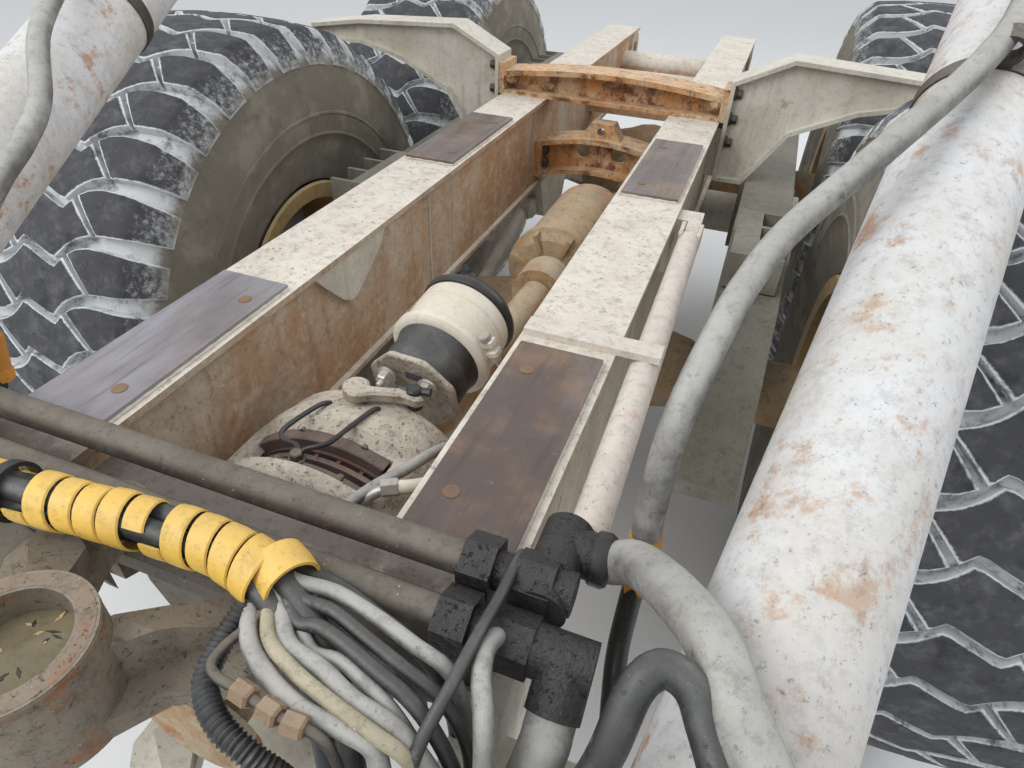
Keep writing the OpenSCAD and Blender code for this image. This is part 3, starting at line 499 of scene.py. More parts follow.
class Recipe:
    """A shader tree that grows colour step by step: each step mixes one more layer over the last."""

    def __init__(self, name: str) -> None:
        """Starts an empty material of that name.

        Args:
            name: the material's name.
        """
        self.mat = bpy.data.materials.new(name)
        self.mat.use_nodes = True
        self.tree = self.mat.node_tree
        self.tree.nodes.clear()
        self.where = add_node(self.tree, "ShaderNodeTexCoord").outputs["Object"]
        self.normal = add_node(self.tree, "ShaderNodeSeparateXYZ",
                               {0: add_node(self.tree, "ShaderNodeNewGeometry").outputs["Normal"]})
        self.colour: "bpy.types.NodeSocket | tuple" = (0.5, 0.5, 0.5, 1.0)

    def noise(self, size_mm: float, detail: float = 5.0, rough: float = 0.6, stretch: tuple = (1, 1, 1)) -> Socket:
        """Noise whose blotches are size_mm across, drawn out along the axes by the stretch factors.

        Args:
            size_mm: size of a blotch.
            detail: octaves of finer noise.
            rough: how strong these are.
            stretch: factor along each axis.

        Returns:
            The noise, about 0.5 on average.
        """
        scale = tuple(1000.0 / size_mm / s for s in stretch)
        moved = add_node(self.tree, "ShaderNodeMapping", {"Vector": self.where, "Scale": scale})
        return add_node(self.tree, "ShaderNodeTexNoise",
                        {"Vector": moved.outputs[0], "Scale": 1.0, "Detail": detail, "Roughness": rough}).outputs[0]

    def ramp(self, value: Socket, low: float, high: float, to_low: float = 0.0, to_high: float = 1.0) -> Socket:
        """Maps a value from low..high to to_low..to_high with soft ends.

        Args:
            value: what is mapped.
            low: value that gives to_low.
            high: value that gives to_high.
            to_low: result at the low end.
            to_high: result at the high end.

        Returns:
            The mapped value.
        """
        return add_node(self.tree, "ShaderNodeMapRange",
                        {"Value": value, "From Min": low, "From Max": high, "To Min": to_low, "To Max": to_high},
                        interpolation_type="SMOOTHSTEP").outputs[0]

    def maths(self, how: str, a: "Socket | float", b: "Socket | float" = 0.0) -> Socket:
        """One arithmetic step."""
        return add_node(self.tree, "ShaderNodeMath", {0: a, 1: b}, operation=how).outputs[0]

    def over(self, colour: str, share: Socket, strength: "Socket | float | None" = None) -> None:
        """Lays a colour, given as a hex value, over the one so far, by its share times its strength.

        Args:
            colour: the layer's colour.
            share: how much of it shows, from 0 to 1.
            strength: a factor on the share.
        """
        if strength is not None:
            share = self.maths("MULTIPLY", share, strength)
        self.colour = add_node(self.tree, "ShaderNodeMix", {0: share, 6: self.colour, 7: linear(colour)},
                               data_type="RGBA", blend_type="MIX").outputs[2]

    def finish(self, rough: Socket, bump: Socket, depth_mm: float, metal: float = 0.0,
               ior: float | None = None) -> bpy.types.Material:
        """Closes the tree: colour, roughness and a bump of depth_mm go to the shader.

        Args:
            rough: roughness.
            bump: the height pattern.
            depth_mm: its depth.
            metal: metallic share.
            ior: refraction, left at the default for metals.

        Returns:
            The material.
        """
        relief = add_node(self.tree, "ShaderNodeBump",
                          {"Height": bump, "Distance": depth_mm / 1000.0, "Strength": 1.0}).outputs[0]
        shader = add_node(self.tree, "ShaderNodeBsdfPrincipled",
                          {"Base Color": self.colour, "Roughness": rough, "Normal": relief, "Metallic": metal})
        if ior is not None:
            shader.inputs["IOR"].default_value = ior
        add_node(self.tree, "ShaderNodeOutputMaterial", {"Surface": shader.outputs[0]})
        return self.mat


class Finish:
    """A finish whose material is made on its first use."""

    name: str

    def material(self) -> bpy.types.Material:
        """Builds the material once and hands it back after that."""
        return bpy.data.materials.get(self.name) or self.lay(Recipe(self.name))


@dataclass(frozen=True)
class Weathered(Finish):
    """Paint or metal that has worked outdoors: two tones in blotches, run-down streaks, rust, grit and dust that
    lies on what faces up."""

    name: str
    # colours, and then how much of rust, streaks and dust there is
    base: str
    second: str
    rust: str = "#7a4a2a"
    streak: str = "#6b5a45"
    dust: str = "#b9ad97"
    rusty: float = 0.25
    streaky: float = 0.35
    dusty: float = 0.6
    rough: float = 0.72
    metal: float = 0.0
    # real sizes of blotches, grain and relief
    patch_mm: float = 160.0
    grain_mm: float = 3.0
    bump_mm: float = 0.5
    # colour of the rust runs inside the rails, for the paint that has them
    inner: str = ""
    mottle: float = 0.3
    gritty: float = 0.5
    ior: float = 1.5

    def lay(self, r: Recipe) -> bpy.types.Material:
        """Lays second tone, streaks, rust, dust, mottle and grit over the base, each by its own noise.

        Args:
            r: the material's empty recipe.

        Returns:
            The material.
        """
        blotch, fine = r.noise(self.patch_mm, 6, 0.62), r.noise(self.grain_mm, 4, 0.7)
        runs = r.noise(30, 5, 0.7, (1, 1, 14))
        r.colour = linear(self.base)
        r.over(self.second, r.ramp(blotch, 0.35, 0.65))
        if self.inner:
            # the side plates that face the middle of the machine, 0.22 m from it, carry runs of rust
            x, y, _ = add_node(r.tree, "ShaderNodeSeparateXYZ", {0: r.where}).outputs
            flat = r.ramp(r.maths("ABSOLUTE", r.normal.outputs[2]), 0.3, 0.5, 1.0, 0.0)
            plate = r.maths("MULTIPLY", r.ramp(r.maths("ABSOLUTE", x), 0.222, 0.226, 1.0, 0.0), flat)
            rusted = r.ramp(r.noise(260, 5, 0.6, (1, 1, 2.5)), 0.36, 0.6, 0.2, 0.8)
            r.over(self.inner, plate, rusted)
            # the front ends, ahead of the wear plates and under the pipes, are painted darker
            front = r.ramp(y, -1.66, -1.59, 1.0, 0.0)
            front_darkening = r.maths("MULTIPLY", front, r.ramp(r.noise(60, 6, 0.7), 0.3, 0.55, 0.6, 0.95))
        r.over(self.streak, r.ramp(runs, 0.48, 0.72), self.streaky)
        chips = r.ramp(r.noise(self.patch_mm * 0.45, 9, 0.72), 0.64 - 0.22 * self.rusty, 0.72 - 0.16 * self.rusty)
        r.over(self.rust, chips, min(1.0, 0.35 + self.rusty))
        # dust lies on what faces up, with a thinner film of it all over
        up = r.ramp(r.normal.outputs[2], 0.15, 0.85)
        cover = r.maths("MULTIPLY", up, r.ramp(r.noise(90, 8, 0.7), 0.3, 0.62, 0.55, 1.0))
        film = r.maths("MULTIPLY", r.ramp(r.noise(40, 8, 0.75), 0.45, 0.7), self.dusty * 0.45)
        r.over(self.dust, r.maths("MAXIMUM", r.maths("MULTIPLY", cover, self.dusty), film))
        if self.inner:
            # painted darkening of the front ends, ahead of the wear plates
            r.over("#5a5147", front_darkening)
        r.over("#3b3227", r.ramp(r.noise(22, 9, 0.82), 0.48, 0.66), self.mottle)
        # dark and pale grains, drawn coarser than real grit so that they show
        grit = r.ramp(r.noise(8, 6, 0.8), 0.58, 0.68)
        r.over("#4d4335", grit, self.gritty)
        r.over("#efe8db", r.ramp(r.noise(5, 3, 0.8), 0.66, 0.74), self.gritty)
        rough = r.ramp(fine, 0.2, 0.8, max(self.rough - 0.1, 0.05), min(self.rough + 0.12, 1.0))
        height = r.maths("ADD", fine, r.maths("MULTIPLY", grit, 0.8))
        return r.finish(rough, height, self.bump_mm, self.metal, None if self.metal > 0.5 else self.ior)


@dataclass(frozen=True)
class TreadRubber(Finish):
    """Worn tyre rubber: dark block faces, pale dust packed in the grooves, grey-brown sidewalls with dark smears."""

    name: str = "moulded_tyre_rubber"
    top: str = "#434346"
    groove: str = "#d3d6d7"
    wall: str = "#756f62"
    smear: str = "#2c2c2b"

    def lay(self, r: Recipe) -> bpy.types.Material:
        """Mixes by the painted values soil (0 block face, 1 groove floor) and place (1 sidewall).

        Args:
            r: the material's empty recipe.

        Returns:
            The material.
        """
        soil, place = (add_node(r.tree, "ShaderNodeAttribute", attribute_name=k).outputs["Fac"]
                       for k in ("soil", "place"))
        fine = r.noise(5, 5, 0.75)
        r.colour = linear(self.top)
        r.over("#666668", r.ramp(r.noise(40, 8, 0.75), 0.45, 0.7, 0.0, 0.8))
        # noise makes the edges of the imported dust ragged
        ragged = r.maths("ADD", soil, r.maths("MULTIPLY", r.maths("SUBTRACT", r.noise(14, 6, 0.8), 0.5), 0.9))
        r.over(self.groove, r.ramp(ragged, 0.22, 0.56))
        r.over("#6d7274", r.ramp(r.noise(45, 6, 0.7), 0.5, 0.66), r.ramp(soil, 0.3, 0.9, 0.0, 0.7))
        wall = r.maths("ADD", place, r.maths("MULTIPLY", r.maths("SUBTRACT", r.noise(80, 6, 0.7), 0.5), 0.7))
        side = r.ramp(wall, 0.3, 0.7)
        r.over(self.wall, side)
        r.over("#8f8a7a", side, r.ramp(r.noise(120, 6, 0.65), 0.45, 0.65, 0.0, 0.8))
        smears = r.ramp(r.noise(55, 8, 0.75), 0.52, 0.66)
        r.over(self.smear, smears, r.ramp(place, 0.05, 1.0, 0.75, 0.25))
        r.over("#a9a394", r.ramp(r.noise(7, 4, 0.8), 0.66, 0.74), 0.35)
        height = r.maths("ADD", fine, r.noise(22, 5, 0.7))
        return r.finish(r.ramp(fine, 0.2, 0.8, 0.78, 0.95), height, 1.6, 0.0, 1.52)


@dataclass(frozen=True)
class WornPlateWithPaintedSheen(Finish):
    """Composite plate rubbed by the body: dark, with long fine scratches along Y, brown and violet-grey clouds, and a
    painted pale reflection on the plate at the front left.
    """

    name: str = "rubbed_pad_composite_painted_sheen"

    def lay(self, r: Recipe) -> bpy.types.Material:
        """Mixes clouds, a painted pale reflection, scratches and dust.

        Args:
            r: the material's empty recipe.

        Returns:
            The material.
        """
        rub = r.noise(9, 6, 0.7, (1, 26, 1))
        r.colour = linear("#54433a")
        r.over("#8a6a48", r.ramp(r.noise(170, 6, 0.65), 0.44, 0.68, 0.0, 0.75))
        r.over("#7d7672", r.ramp(r.noise(130, 5, 0.6, (1, 2.5, 1)), 0.42, 0.64, 0.0, 0.6))
        # painted reflection: a pale sheen painted on the plate at the front left
        x, y, _ = add_node(r.tree, "ShaderNodeSeparateXYZ", {0: r.where}).outputs
        left = r.maths("MULTIPLY", r.ramp(x, -0.05, 0.05, 1.0, 0.0), r.ramp(y, -0.9, -0.8, 1.0, 0.0))
        painted_reflection_share = r.ramp(r.noise(240, 5, 0.6, (1, 2.5, 1)), 0.35, 0.6, 0.25, 0.75)
        r.over("#a9a9b1", left, painted_reflection_share)
        r.over("#2f2927", r.ramp(rub, 0.5, 0.75, 0.0, 0.6))
        r.over("#b8ad9b", r.ramp(r.noise(30, 8, 0.8), 0.6, 0.75, 0.0, 0.4))
        return r.finish(r.ramp(rub, 0.2, 0.8, 0.16, 0.36), rub, 0.08, 0.0, 1.75)


# Names say what each finish is made of and how the weather has left it.
# Sprayed and cast paint: matt after years of dust, chipped to rust; the front crossmember and the rails' front ends are
# painted darker.
CHASSIS_PAINT = Weathered("sprayed_chassis_paint", "#d0cbbe", "#b9b2a2", rusty=0.16, streaky=0.3, dusty=0.75,
                          dust="#dbd6c8", mottle=0.25)
RAIL_PAINT = Weathered("sprayed_rail_paint", "#c3b8a5", "#aea28d", rusty=0.2, streaky=0.35, dusty=1.0, dust="#dfd6c9",
                       inner="#ad7b4b", streak="#7b6b55", mottle=0.4)
# the front crossmember, between the pipes, is painted darker than the chassis
SHELF_PAINT = Weathered("darkened_shelf_paint", "#716a61", "#5b554e", rust="#7d5a3c", rusty=0.2, streaky=0.3, dusty=0.5,
                        dust="#90887a", mottle=0.5)
BEAM_PAINT = Weathered("mud_greyed_paint", "#8b887b", "#747164", rusty=0.1, streaky=0.3, dusty=0.5, dust="#8f8c7e",
                       mottle=0.35)
RUSTY_PAINT = Weathered("rust_run_paint", "#a58259", "#b3a78f", rust="#98592a", rusty=0.55, streaky=0.5, dusty=0.7,
                        dust="#c3b7a0")
CAST_ORANGE = Weathered("rusted_casting", "#c98c50", "#cdb18c", rust="#6f3d1b", rusty=0.6, streaky=0.5,
                        streak="#4f3018", dusty=0.65, dust="#dfc3a0",
                        bump_mm=0.9, mottle=0.7)
AXLE_PAINT = Weathered("oily_axle_paint", "#ab8c62", "#8c7c66", rust="#b5702e", rusty=0.5, streaky=0.3, dusty=0.6,
                       dust="#b9a68a", bump_mm=0.9, mottle=0.45)
CALIPER_PAINT = Weathered("sand_cast_iron_dusty", "#b3a797", "#998c7b", rust="#8b6a4c", rusty=0.25, streaky=0.2,
                          dusty=0.75, dust="#cfc5b5",
                          patch_mm=60, bump_mm=3.5, grain_mm=8.0, mottle=0.5, gritty=0.6)
CREAM_PAINT = Weathered("cream_enamel", "#e6dfd0", "#d6ccb6", rusty=0.06, streaky=0.2, dusty=0.35, dust="#dcd4c6",
                        rough=0.5, bump_mm=0.2, mottle=0.1,
                        gritty=0.25)
PROP_PAINT = Weathered("faded_prop_enamel", "#d8cec2", "#cfc0b5", rust="#c4646a", rusty=0.12, streaky=0.2, dusty=0.4,
                       dust="#dcd4c6", patch_mm=220, rough=0.6)
CYLINDER_PAINT = Weathered("chalky_cylinder_enamel", "#d5d6d8", "#c6c2ba", rust="#a9753f", rusty=0.47, streaky=0.25,
                           dusty=0.35, dust="#dedbd4",
                           patch_mm=170, rough=0.5, bump_mm=0.3, mottle=0.25)
RIM_PAINT = Weathered("sprayed_rim_enamel", "#c0a06a", "#a98c5e", rusty=0.25, streaky=0.3, dusty=0.45, dust="#b5a88d",
                      rough=0.6)
# Bare and plated steel, iron and brass: metallic only as far as dust and oxide leave them so.
BARE_STEEL = Weathered("ground_steel", "#8b8783", "#7c6a5c", rust="#7c5238", rusty=0.35, streaky=0.15, dusty=0.3,
                       rough=0.42, metal=0.75, bump_mm=0.15)
DISC_IRON = Weathered("worn_disc_iron", "#7d6560", "#6a5650", rust="#8f5f45", rusty=0.4, dusty=0.2, rough=0.45,
                      metal=0.6, mottle=0.15)
DUSTY_STEEL = Weathered("drawn_steel_dusty", "#443e37", "#352f2a", rusty=0.15, streaky=0.1, dusty=0.5, dust="#978f81",
                        rough=0.7, metal=0.1, bump_mm=0.3,
                        mottle=0.4)
OILY_STEEL = Weathered("oiled_black_steel", "#1f2022", "#2f2f2f", rust="#3f372d", rusty=0.1, streaky=0.1, dusty=0.14,
                       dust="#6d6860", rough=0.32, bump_mm=0.3,
                       mottle=0.2, gritty=0.12)
CAKED_STEEL = Weathered("oil_caked_fitting_steel", "#1e1e20", "#2b2b2c", rust="#3f372d", rusty=0.2, streaky=0.1,
                        dusty=0.2, dust="#5f5a53", rough=0.5,
                        grain_mm=10, bump_mm=4.0, mottle=0.2, gritty=0.12)
ZINC = Weathered("zinc_plated_steel", "#c9c7c1", "#aaa69c", rust="#8f7a5a", rusty=0.15, streaky=0.1, dusty=0.35,
                 rough=0.45, metal=0.6, bump_mm=0.15, mottle=0.2)
BRASS = Weathered("turned_brass", "#b8924a", "#94743a", rust="#6b5a34", rusty=0.2, streaky=0.1, dusty=0.4, rough=0.45,
                  metal=0.7, bump_mm=0.15)
YELLOW_FERRULE = Weathered("yellow_chromated_steel", "#d9963a", "#c07f30", rust="#7a5426", rusty=0.15, streaky=0.2,
                           dusty=0.25, dust="#cbb084", rough=0.45,
                           bump_mm=0.15, mottle=0.2, gritty=0.3)
CHROME = Weathered("chromed_rod_steel", "#d2d4d6", "#c3c5c6", rust="#a08e78", rusty=0.0, streaky=0.05, dusty=0.12,
                   rough=0.16, metal=0.9, bump_mm=0.02,
                   mottle=0.05, gritty=0.05)
# Rubber, plastic and water: rubber dull under pale dust, the wrap a little glossy, the water smooth.
BLACK_RUBBER = Weathered("moulded_black_rubber", "#1c1d1f", "#282a2c", rust="#9499a0", rusty=0.12, streaky=0.25,
                         streak="#7d8186", dusty=0.3,
                         dust="#8e8c86", rough=0.45, bump_mm=0.3, mottle=0.2, gritty=0.15)
HOSE_RUBBER = Weathered("extruded_hose_rubber", "#4a4a49", "#5d5c59", rust="#77736a", rusty=0.2, streaky=0.1,
                        dusty=0.85, dust="#9a968c", rough=0.75, bump_mm=0.3)
GREY_HOSE = Weathered("dusted_hose_rubber", "#6b6a66", "#8b8983", rust="#4b4a47", rusty=0.4, streaky=0.3,
                      streak="#4c4a46", dusty=0.8, dust="#bab8b1",
                      rough=0.65, bump_mm=0.3, patch_mm=50, mottle=0.35, gritty=0.3)
SAND_HOSE = Weathered("clay_dusted_hose", "#a59c84", "#8f866f", rust="#4c463b", rusty=0.3, streaky=0.2, dusty=0.7,
                      dust="#beb59c", rough=0.8, bump_mm=0.3,
                      patch_mm=50, mottle=0.4)
YELLOW_WRAP = Weathered("extruded_wrap_plastic", "#f0c04c", "#e2b650", rust="#a9853a", rusty=0.2, streaky=0.12,
                        dusty=0.35, dust="#d9c189", rough=0.5,
                        patch_mm=70, bump_mm=0.25, ior=1.47, mottle=0.25, gritty=0.3)
MUDDY_WATER = Weathered("muddy_water", "#857c60", "#6a6148", rusty=0.0, streaky=0.0, dusty=0.15, rough=0.08,
                        bump_mm=0.05, ior=1.33, gritty=0.35)
FLASH_RUSTED = Weathered("flash_rusted_zinc_steel", "#a08a72", "#8a7158", rust="#8a5a34", rusty=0.3, streaky=0.1,
                         dusty=0.35, rough=0.5, metal=0.3,
                         bump_mm=0.15)
LIP_RUST = Weathered("rust_bloomed_lip", "#8a6444", "#776c5d", rust="#8a5226", rusty=0.6, dusty=0.4, dust="#a39887",
                     bump_mm=1.0, mottle=0.4)
PAD_LINING = Weathered("pressed_pad_lining", "#5f4a43", "#4b3d39", rusty=0.2, streaky=0.2, dusty=0.4, dust="#8d8175",
                       rough=0.8, patch_mm=40)
SCREW_STEEL = Weathered("rusted_screw_steel", "#7d5c42", "#5f4733", rusty=0.3, streaky=0.1, dusty=0.15, rough=0.6,
                        bump_mm=0.3)
YOKE_PAINT = Weathered("cast_yoke_paint", "#8f8474", "#776c5d", rust="#9a5c2a", rusty=0.35, streaky=0.3, dusty=0.6,
                       dust="#9a8f80", bump_mm=1.2, mottle=0.5)
TYRE_RUBBER = TreadRubber()
PAD_PLATE = WornPlateWithPaintedSheen()

SLOT_FINISH = {
    "dusty_paint": CHASSIS_PAINT, "rusty_paint": RUSTY_PAINT, "orange_paint": CAST_ORANGE, "cream_paint": CREAM_PAINT,
    "prop_paint": PROP_PAINT, "cylinder_paint": CYLINDER_PAINT, "rim_paint": RIM_PAINT, "bare_steel": BARE_STEEL,
    "dusty_steel": DUSTY_STEEL, "chromed_rod": CHROME, "oily_steel": OILY_STEEL, "pad_composite": PAD_PLATE,
    "wrap_plastic": YELLOW_WRAP, "hose_rubber": HOSE_RUBBER, "tyre_rubber": TYRE_RUBBER,
}
NODE_FINISH = {
    "rail_left": RAIL_PAINT, "rail_right": RAIL_PAINT, "axle_front": AXLE_PAINT, "axle_rear": AXLE_PAINT,
    "brake_caliper": CALIPER_PAINT, "brake_disc": DISC_IRON, "cross_pipes": DUSTY_STEEL,
    "rear_crossmember": RAIL_PAINT,
    "front_crossmember": SHELF_PAINT, "yoke_upper": YOKE_PAINT, "pipe_fittings": CAKED_STEEL,
    "bogie_beam_left": BEAM_PAINT, "bogie_beam_right": BEAM_PAINT,
}


class Named(Enum):
    """A choice whose name is part of a CAD name."""

    @property
    def word(self) -> str:
        """Its name inside a CAD name."""
        return self.name.lower()


class Side(Named):
    """The two sides of the machine."""

    LEFT = -1
    RIGHT = 1


class End(Named):
    """The two axles."""

    FRONT = -1
    REAR = 1


WHEELS = [(end, side) for end in End for side in Side]


def hub(end: End, side: Side) -> Array:
    """Gives the centre of a wheel."""
    return np.array([side.value * TRACK / 2, end.value * AXLE_Y, AXLE_Z])


# Sub-assemblies

@dataclass
class Camera:
    """The photograph's camera: place in chassis metres, its right, down and forward directions, and its lens."""

    place: tuple = (0.492, -2.473, 0.591)
    right: tuple = (0.93505, 0.35289, 0.03385)
    down: tuple = (0.24083, -0.56223, -0.79114)
    lens_mm: float = 23.2

    def build(self) -> None:
        """Makes the camera and gives it to the scene."""
        r = unit(np.array(self.right))
        d = unit(np.array(self.down) - (np.array(self.down) @ r) * r)
        back = -np.cross(r, d)
        data = bpy.data.cameras.new("camera")
        data.sensor_fit, data.sensor_width, data.lens, data.clip_start = "HORIZONTAL", 36.0, self.lens_mm, 0.05
        cam = link("camera", data)
        stand(cam, r, -d, back, np.array(self.place) + ORIGIN)
        bpy.context.scene.camera = cam


@dataclass
class Tyres:
    """Four wide earthmover tyres: a carcass turned from its section, with a row of Z-shaped blocks round the middle
    and a row of shoulder blocks at each side."""

    pitches: int = 36
    facets: int = 176
    radius: float = 800.0
    depth: float = 30.0
    crack: float = 11.0
    # where the tread ends, across from the crown along the section
    edge: float = 345.0
    # columns: distance along the section from the crown, out from the middle plane, radius, lean of the normal
    section: tuple = ((0, 0, 800, 0), (120, 120, 797, 0), (226, 226, 787, 0.05), (236, 235, 782, 0.5),
                      (300, 277, 736, 0.7), (345, 291, 696, 0.85))
    # columns: radius, out from the middle plane
    wall: tuple = ((690, 284), (668, 290), (640, 295), (606, 299), (580, 300), (570, 299.5), (567, 302.5),
                   (561, 302.5), (558, 299), (530, 296),
                   (511, 293.5), (508, 296), (503, 296), (500, 292), (470, 284), (440, 275), (410, 266), (388, 259),
                   (372, 254), (362, 251), (358, 240), (352, 236))

    # columns of a cross groove: across from the middle plane, shift round in pitches, half width
    bends: tuple = ((0, 0, 10), (48, 0.15, 10), (74, -0.08, 11), (104, -0.24, 12), (140, -0.33, 14), (178, -0.35, 16),
                    (345, -0.35, 26))

    def groove(self, s: Array) -> Array:
        """Middle line of a cross groove, in pitches: the same on both sides but for its sign."""
        return np.sign(s) * lookup(self.bends, s, 1)

    def fade(self, s: Array) -> Array:
        """Share of its depth that a groove keeps, less and less down the shoulder."""
        return np.interp(np.abs(s), [232, self.edge], [1.0, 0.25])

    def surface(self, s: Array, t: Array, deep: Array) -> Array:
        """Point on the tread: s mm across and t pitches round, deep mm under the block faces along the normal.

        Args:
            s: across from the crown along the section.
            t: pitches round.
            deep: depth under the faces.

        Returns:
            The points, in the last axis of an array of the same shape.
        """
        x, r, lean = (lookup(self.section, s, k) for k in (1, 2, 3))
        r, x = r - deep * np.sqrt(1 - lean ** 2), (x - deep * lean) * np.sign(s)
        angle = t * 2 * math.pi / self.pitches
        return np.stack([x, r * np.cos(angle), r * np.sin(angle)], -1)

    def blocks(self, form: Form, shoulder: int) -> None:
        """Adds one row of blocks. A block is a grid between two curves: across = lower + (upper - lower) * b, and
        round in the same way; the outer rings of the grid go down into the groove.

        Args:
            form: the tyre.
            shoulder: 0 for the middle row, 1 or -1 for the rows at the sides.
        """
        # stations across and round: the doubled ends are the foot and the top edge, the next a narrow rounded rim
        a, b = (np.concatenate([[0, 0], np.linspace(rim, 1 - rim, n), [1, 1]]) for rim, n in ((0.03, 15), (0.05, 6)))
        near, far, gap = 77.0, 150.0, self.crack / 2
        if shoulder:
            low, high = (near + gap, self.edge), (far + gap, self.edge)
        else:
            low, high = (-far + gap, near - gap), (-near + gap, far - gap)
        s_low, s_high = (q[0] + (q[1] - q[0]) * a for q in (low, high))
        pitch = 2 * math.pi * self.radius / self.pitches
        half_low, half_high = (lookup(self.bends, q, 2) / pitch for q in (s_low, s_high))
        t_low, t_high = self.groove(s_low) + half_low, self.groove(s_high) + 1 - half_high
        s = s_low[:, None] + (s_high - s_low)[:, None] * b
        t = t_low[:, None] + (t_high - t_low)[:, None] * b
        if shoulder < 0:
            s, t = -s, 1 - t
        i, j = np.meshgrid(np.arange(len(a)), np.arange(len(b)), indexing="ij")
        # 0 at the foot in the groove, 1 on the rounded edge, 2 on the face
        level = np.minimum(np.minimum(np.minimum(i, len(a) - 1 - i), np.minimum(j, len(b) - 1 - j)), 2)
        deep = np.choose(level, [self.depth * self.fade(s) + 3, 4.5 + 0 * s, 0 * s])
        soil = np.choose(level, [1.0 + 0 * s, 0.75 + 0 * s, 0 * s])
        soil = np.maximum(soil, np.interp(np.abs(s), [234, 240, 300, self.edge], [0, 0.25, 0.3, 0.4]))
        place = np.interp(np.abs(s), [234, self.edge], [0.0, 0.5])
        # each pitch has lost between 0 and 1.8 mm of its face
        k = np.arange(self.pitches)[:, None, None]
        wear = 0.9 + 0.9 * np.sin(k * 2.4)
        pts = self.surface(np.broadcast_to(s, (self.pitches, *s.shape)), t + k, deep + np.where(level > 1, wear, 0))
        faces = (grid_faces(len(a), len(b))[None] + k * (len(a) * len(b))).reshape(-1, 4)
        vals = np.broadcast_to(np.stack([soil, place], -1), (self.pitches, *s.shape, 2))
        form.add(pts, faces, 0, vals)

    def tyre(self) -> Form:
        """One tyre about the X axis, its outer side at +X: section points turned by x, r cos a, r sin a.

        Returns:
            The tyre as a form.
        """
        s = np.array([-345, -300, -240, -180, -120, -60, 0, 60, 120, 180, 240, 300, 345], float)
        floor = self.surface(s, 0 * s, self.depth * self.fade(s))
        wall = np.array(self.wall, float)
        x = np.concatenate([floor[:, 0], wall[:, 1], -wall[::-1, 1]])
        r = np.concatenate([floor[:, 1], wall[:, 0], wall[::-1, 0]])
        place = np.concatenate([np.interp(np.abs(s), [240, self.edge], [0, 0.7]), np.ones(2 * len(wall))])
        soil = np.concatenate([0 * s + 1, np.zeros(2 * len(wall))]) * (1 - place)
        a = turns(self.facets)
        pts = np.stack([x[:, None] + 0 * a, r[:, None] * np.cos(a), r[:, None] * np.sin(a)], -1)
        vals = np.broadcast_to(np.stack([soil, place], -1)[:, None], (len(x), self.facets, 2))
        form = Form().add(pts, grid_faces(len(x), self.facets, True, True), 0, vals)
        for row in (0, 1, -1):
            self.blocks(form, row)
        return form

    def build(self) -> None:
        """Sets a tyre on each wheel, turned by half a turn on the left so that its outer side faces out."""
        pattern = self.tyre()
        verts, vals = np.vstack(pattern.verts), np.vstack(pattern.values)
        for end, side in WHEELS:
            placed = verts * np.array([side.value, side.value, 1.0]) + hub(end, side)
            form = Form().add(placed, pattern.faces, 0, vals)
            name = f"{end.word}_{side.word}"
            form.build(f"lugged_tyre_{name}", [TYRE_RUBBER], f"wheel_{name}", "tyre_rubber", (f"tyre_{name}",), 40)


@dataclass
class WheelTrim:
    """Nuts, studs and hub covers that turn with the wheels."""

    nuts: int = 20
    nut_circle: float = 225.0
    hub_circle: float = 118.0
    # out from the tyre's middle plane: the disc that the nuts press on, and the cover of the hub
    disc_face: float = 101.0
    hub_face: float = 216.0

    def build(self) -> None:
        """Puts the fasteners of each wheel on its disc and hub."""
        for end, side in WHEELS:
            out, centre, form = np.array([side.value, 0.0, 0.0]), hub(end, side), Form()
            for y, z in on_circle(self.nut_circle, turns(self.nuts, 0.5)):
                form.bolt(centre + out * self.disc_face + [0, y, z], out, 32, 1, tip=True)
            for y, z in on_circle(self.hub_circle, turns(12)):
                form.bolt(centre + out * self.hub_face + [0, y, z], out, 20, 1)
            form.revolve([[96, 216], [96, 226], [88, 232], [40, 236]], centre, out, 48, 0)
            form.bolt(centre + out * 235, out, 34, 1)
            form.bolt(centre + out * 230 + [0, 60, 0], out, 22, 1)
            # valve stem on the rim
            stem = np.array([[0, 268, 0], [0, 262, 0], [0, 240, 0]]) + np.array([[0], [1], [1]]) * out * 26
            form.tube(centre + out * 130 + stem, 6, 8, 1)
            name = f"{end.word}_{side.word}"
            form.build(f"wheel_nuts_{name}", [RIM_PAINT, DUSTY_STEEL], f"wheel_{name}", "rim_paint")


def ferrule(form: Form, at: Array, along: Array, bore: float, mark: int = 0, nut: float = 0.0) -> None:
    """Adds a swaged hose end: a sleeve with shallow crimp rings, a collar and, where nut is set, a swivel nut.

    Args:
        form: the piece.
        at: where the hose's end sits.
        along: from the hose out to what it is screwed to.
        bore: the hose's radius.
        mark: the finish.
        nut: across flats of the nut.
    """
    r, w = bore + 4.0, unit(along)
    crimps = [row for y in (-50, -32) for row in ([r, y], [r - 1.6, y + 2], [r - 1.6, y + 8], [r, y + 10])]
    rows = [[r - 3, -62], [r, -60], *crimps, [r, -12], [r - 3, -9], [bore * 0.75, -8], [bore * 0.75, 0]]
    form.revolve(rows, at, w, 22, mark)
    if nut:
        corner = nut / math.sqrt(3)
        form.revolve([[corner, -24], [corner, -6], [corner * 0.88, -2]], at, w, 6, mark)


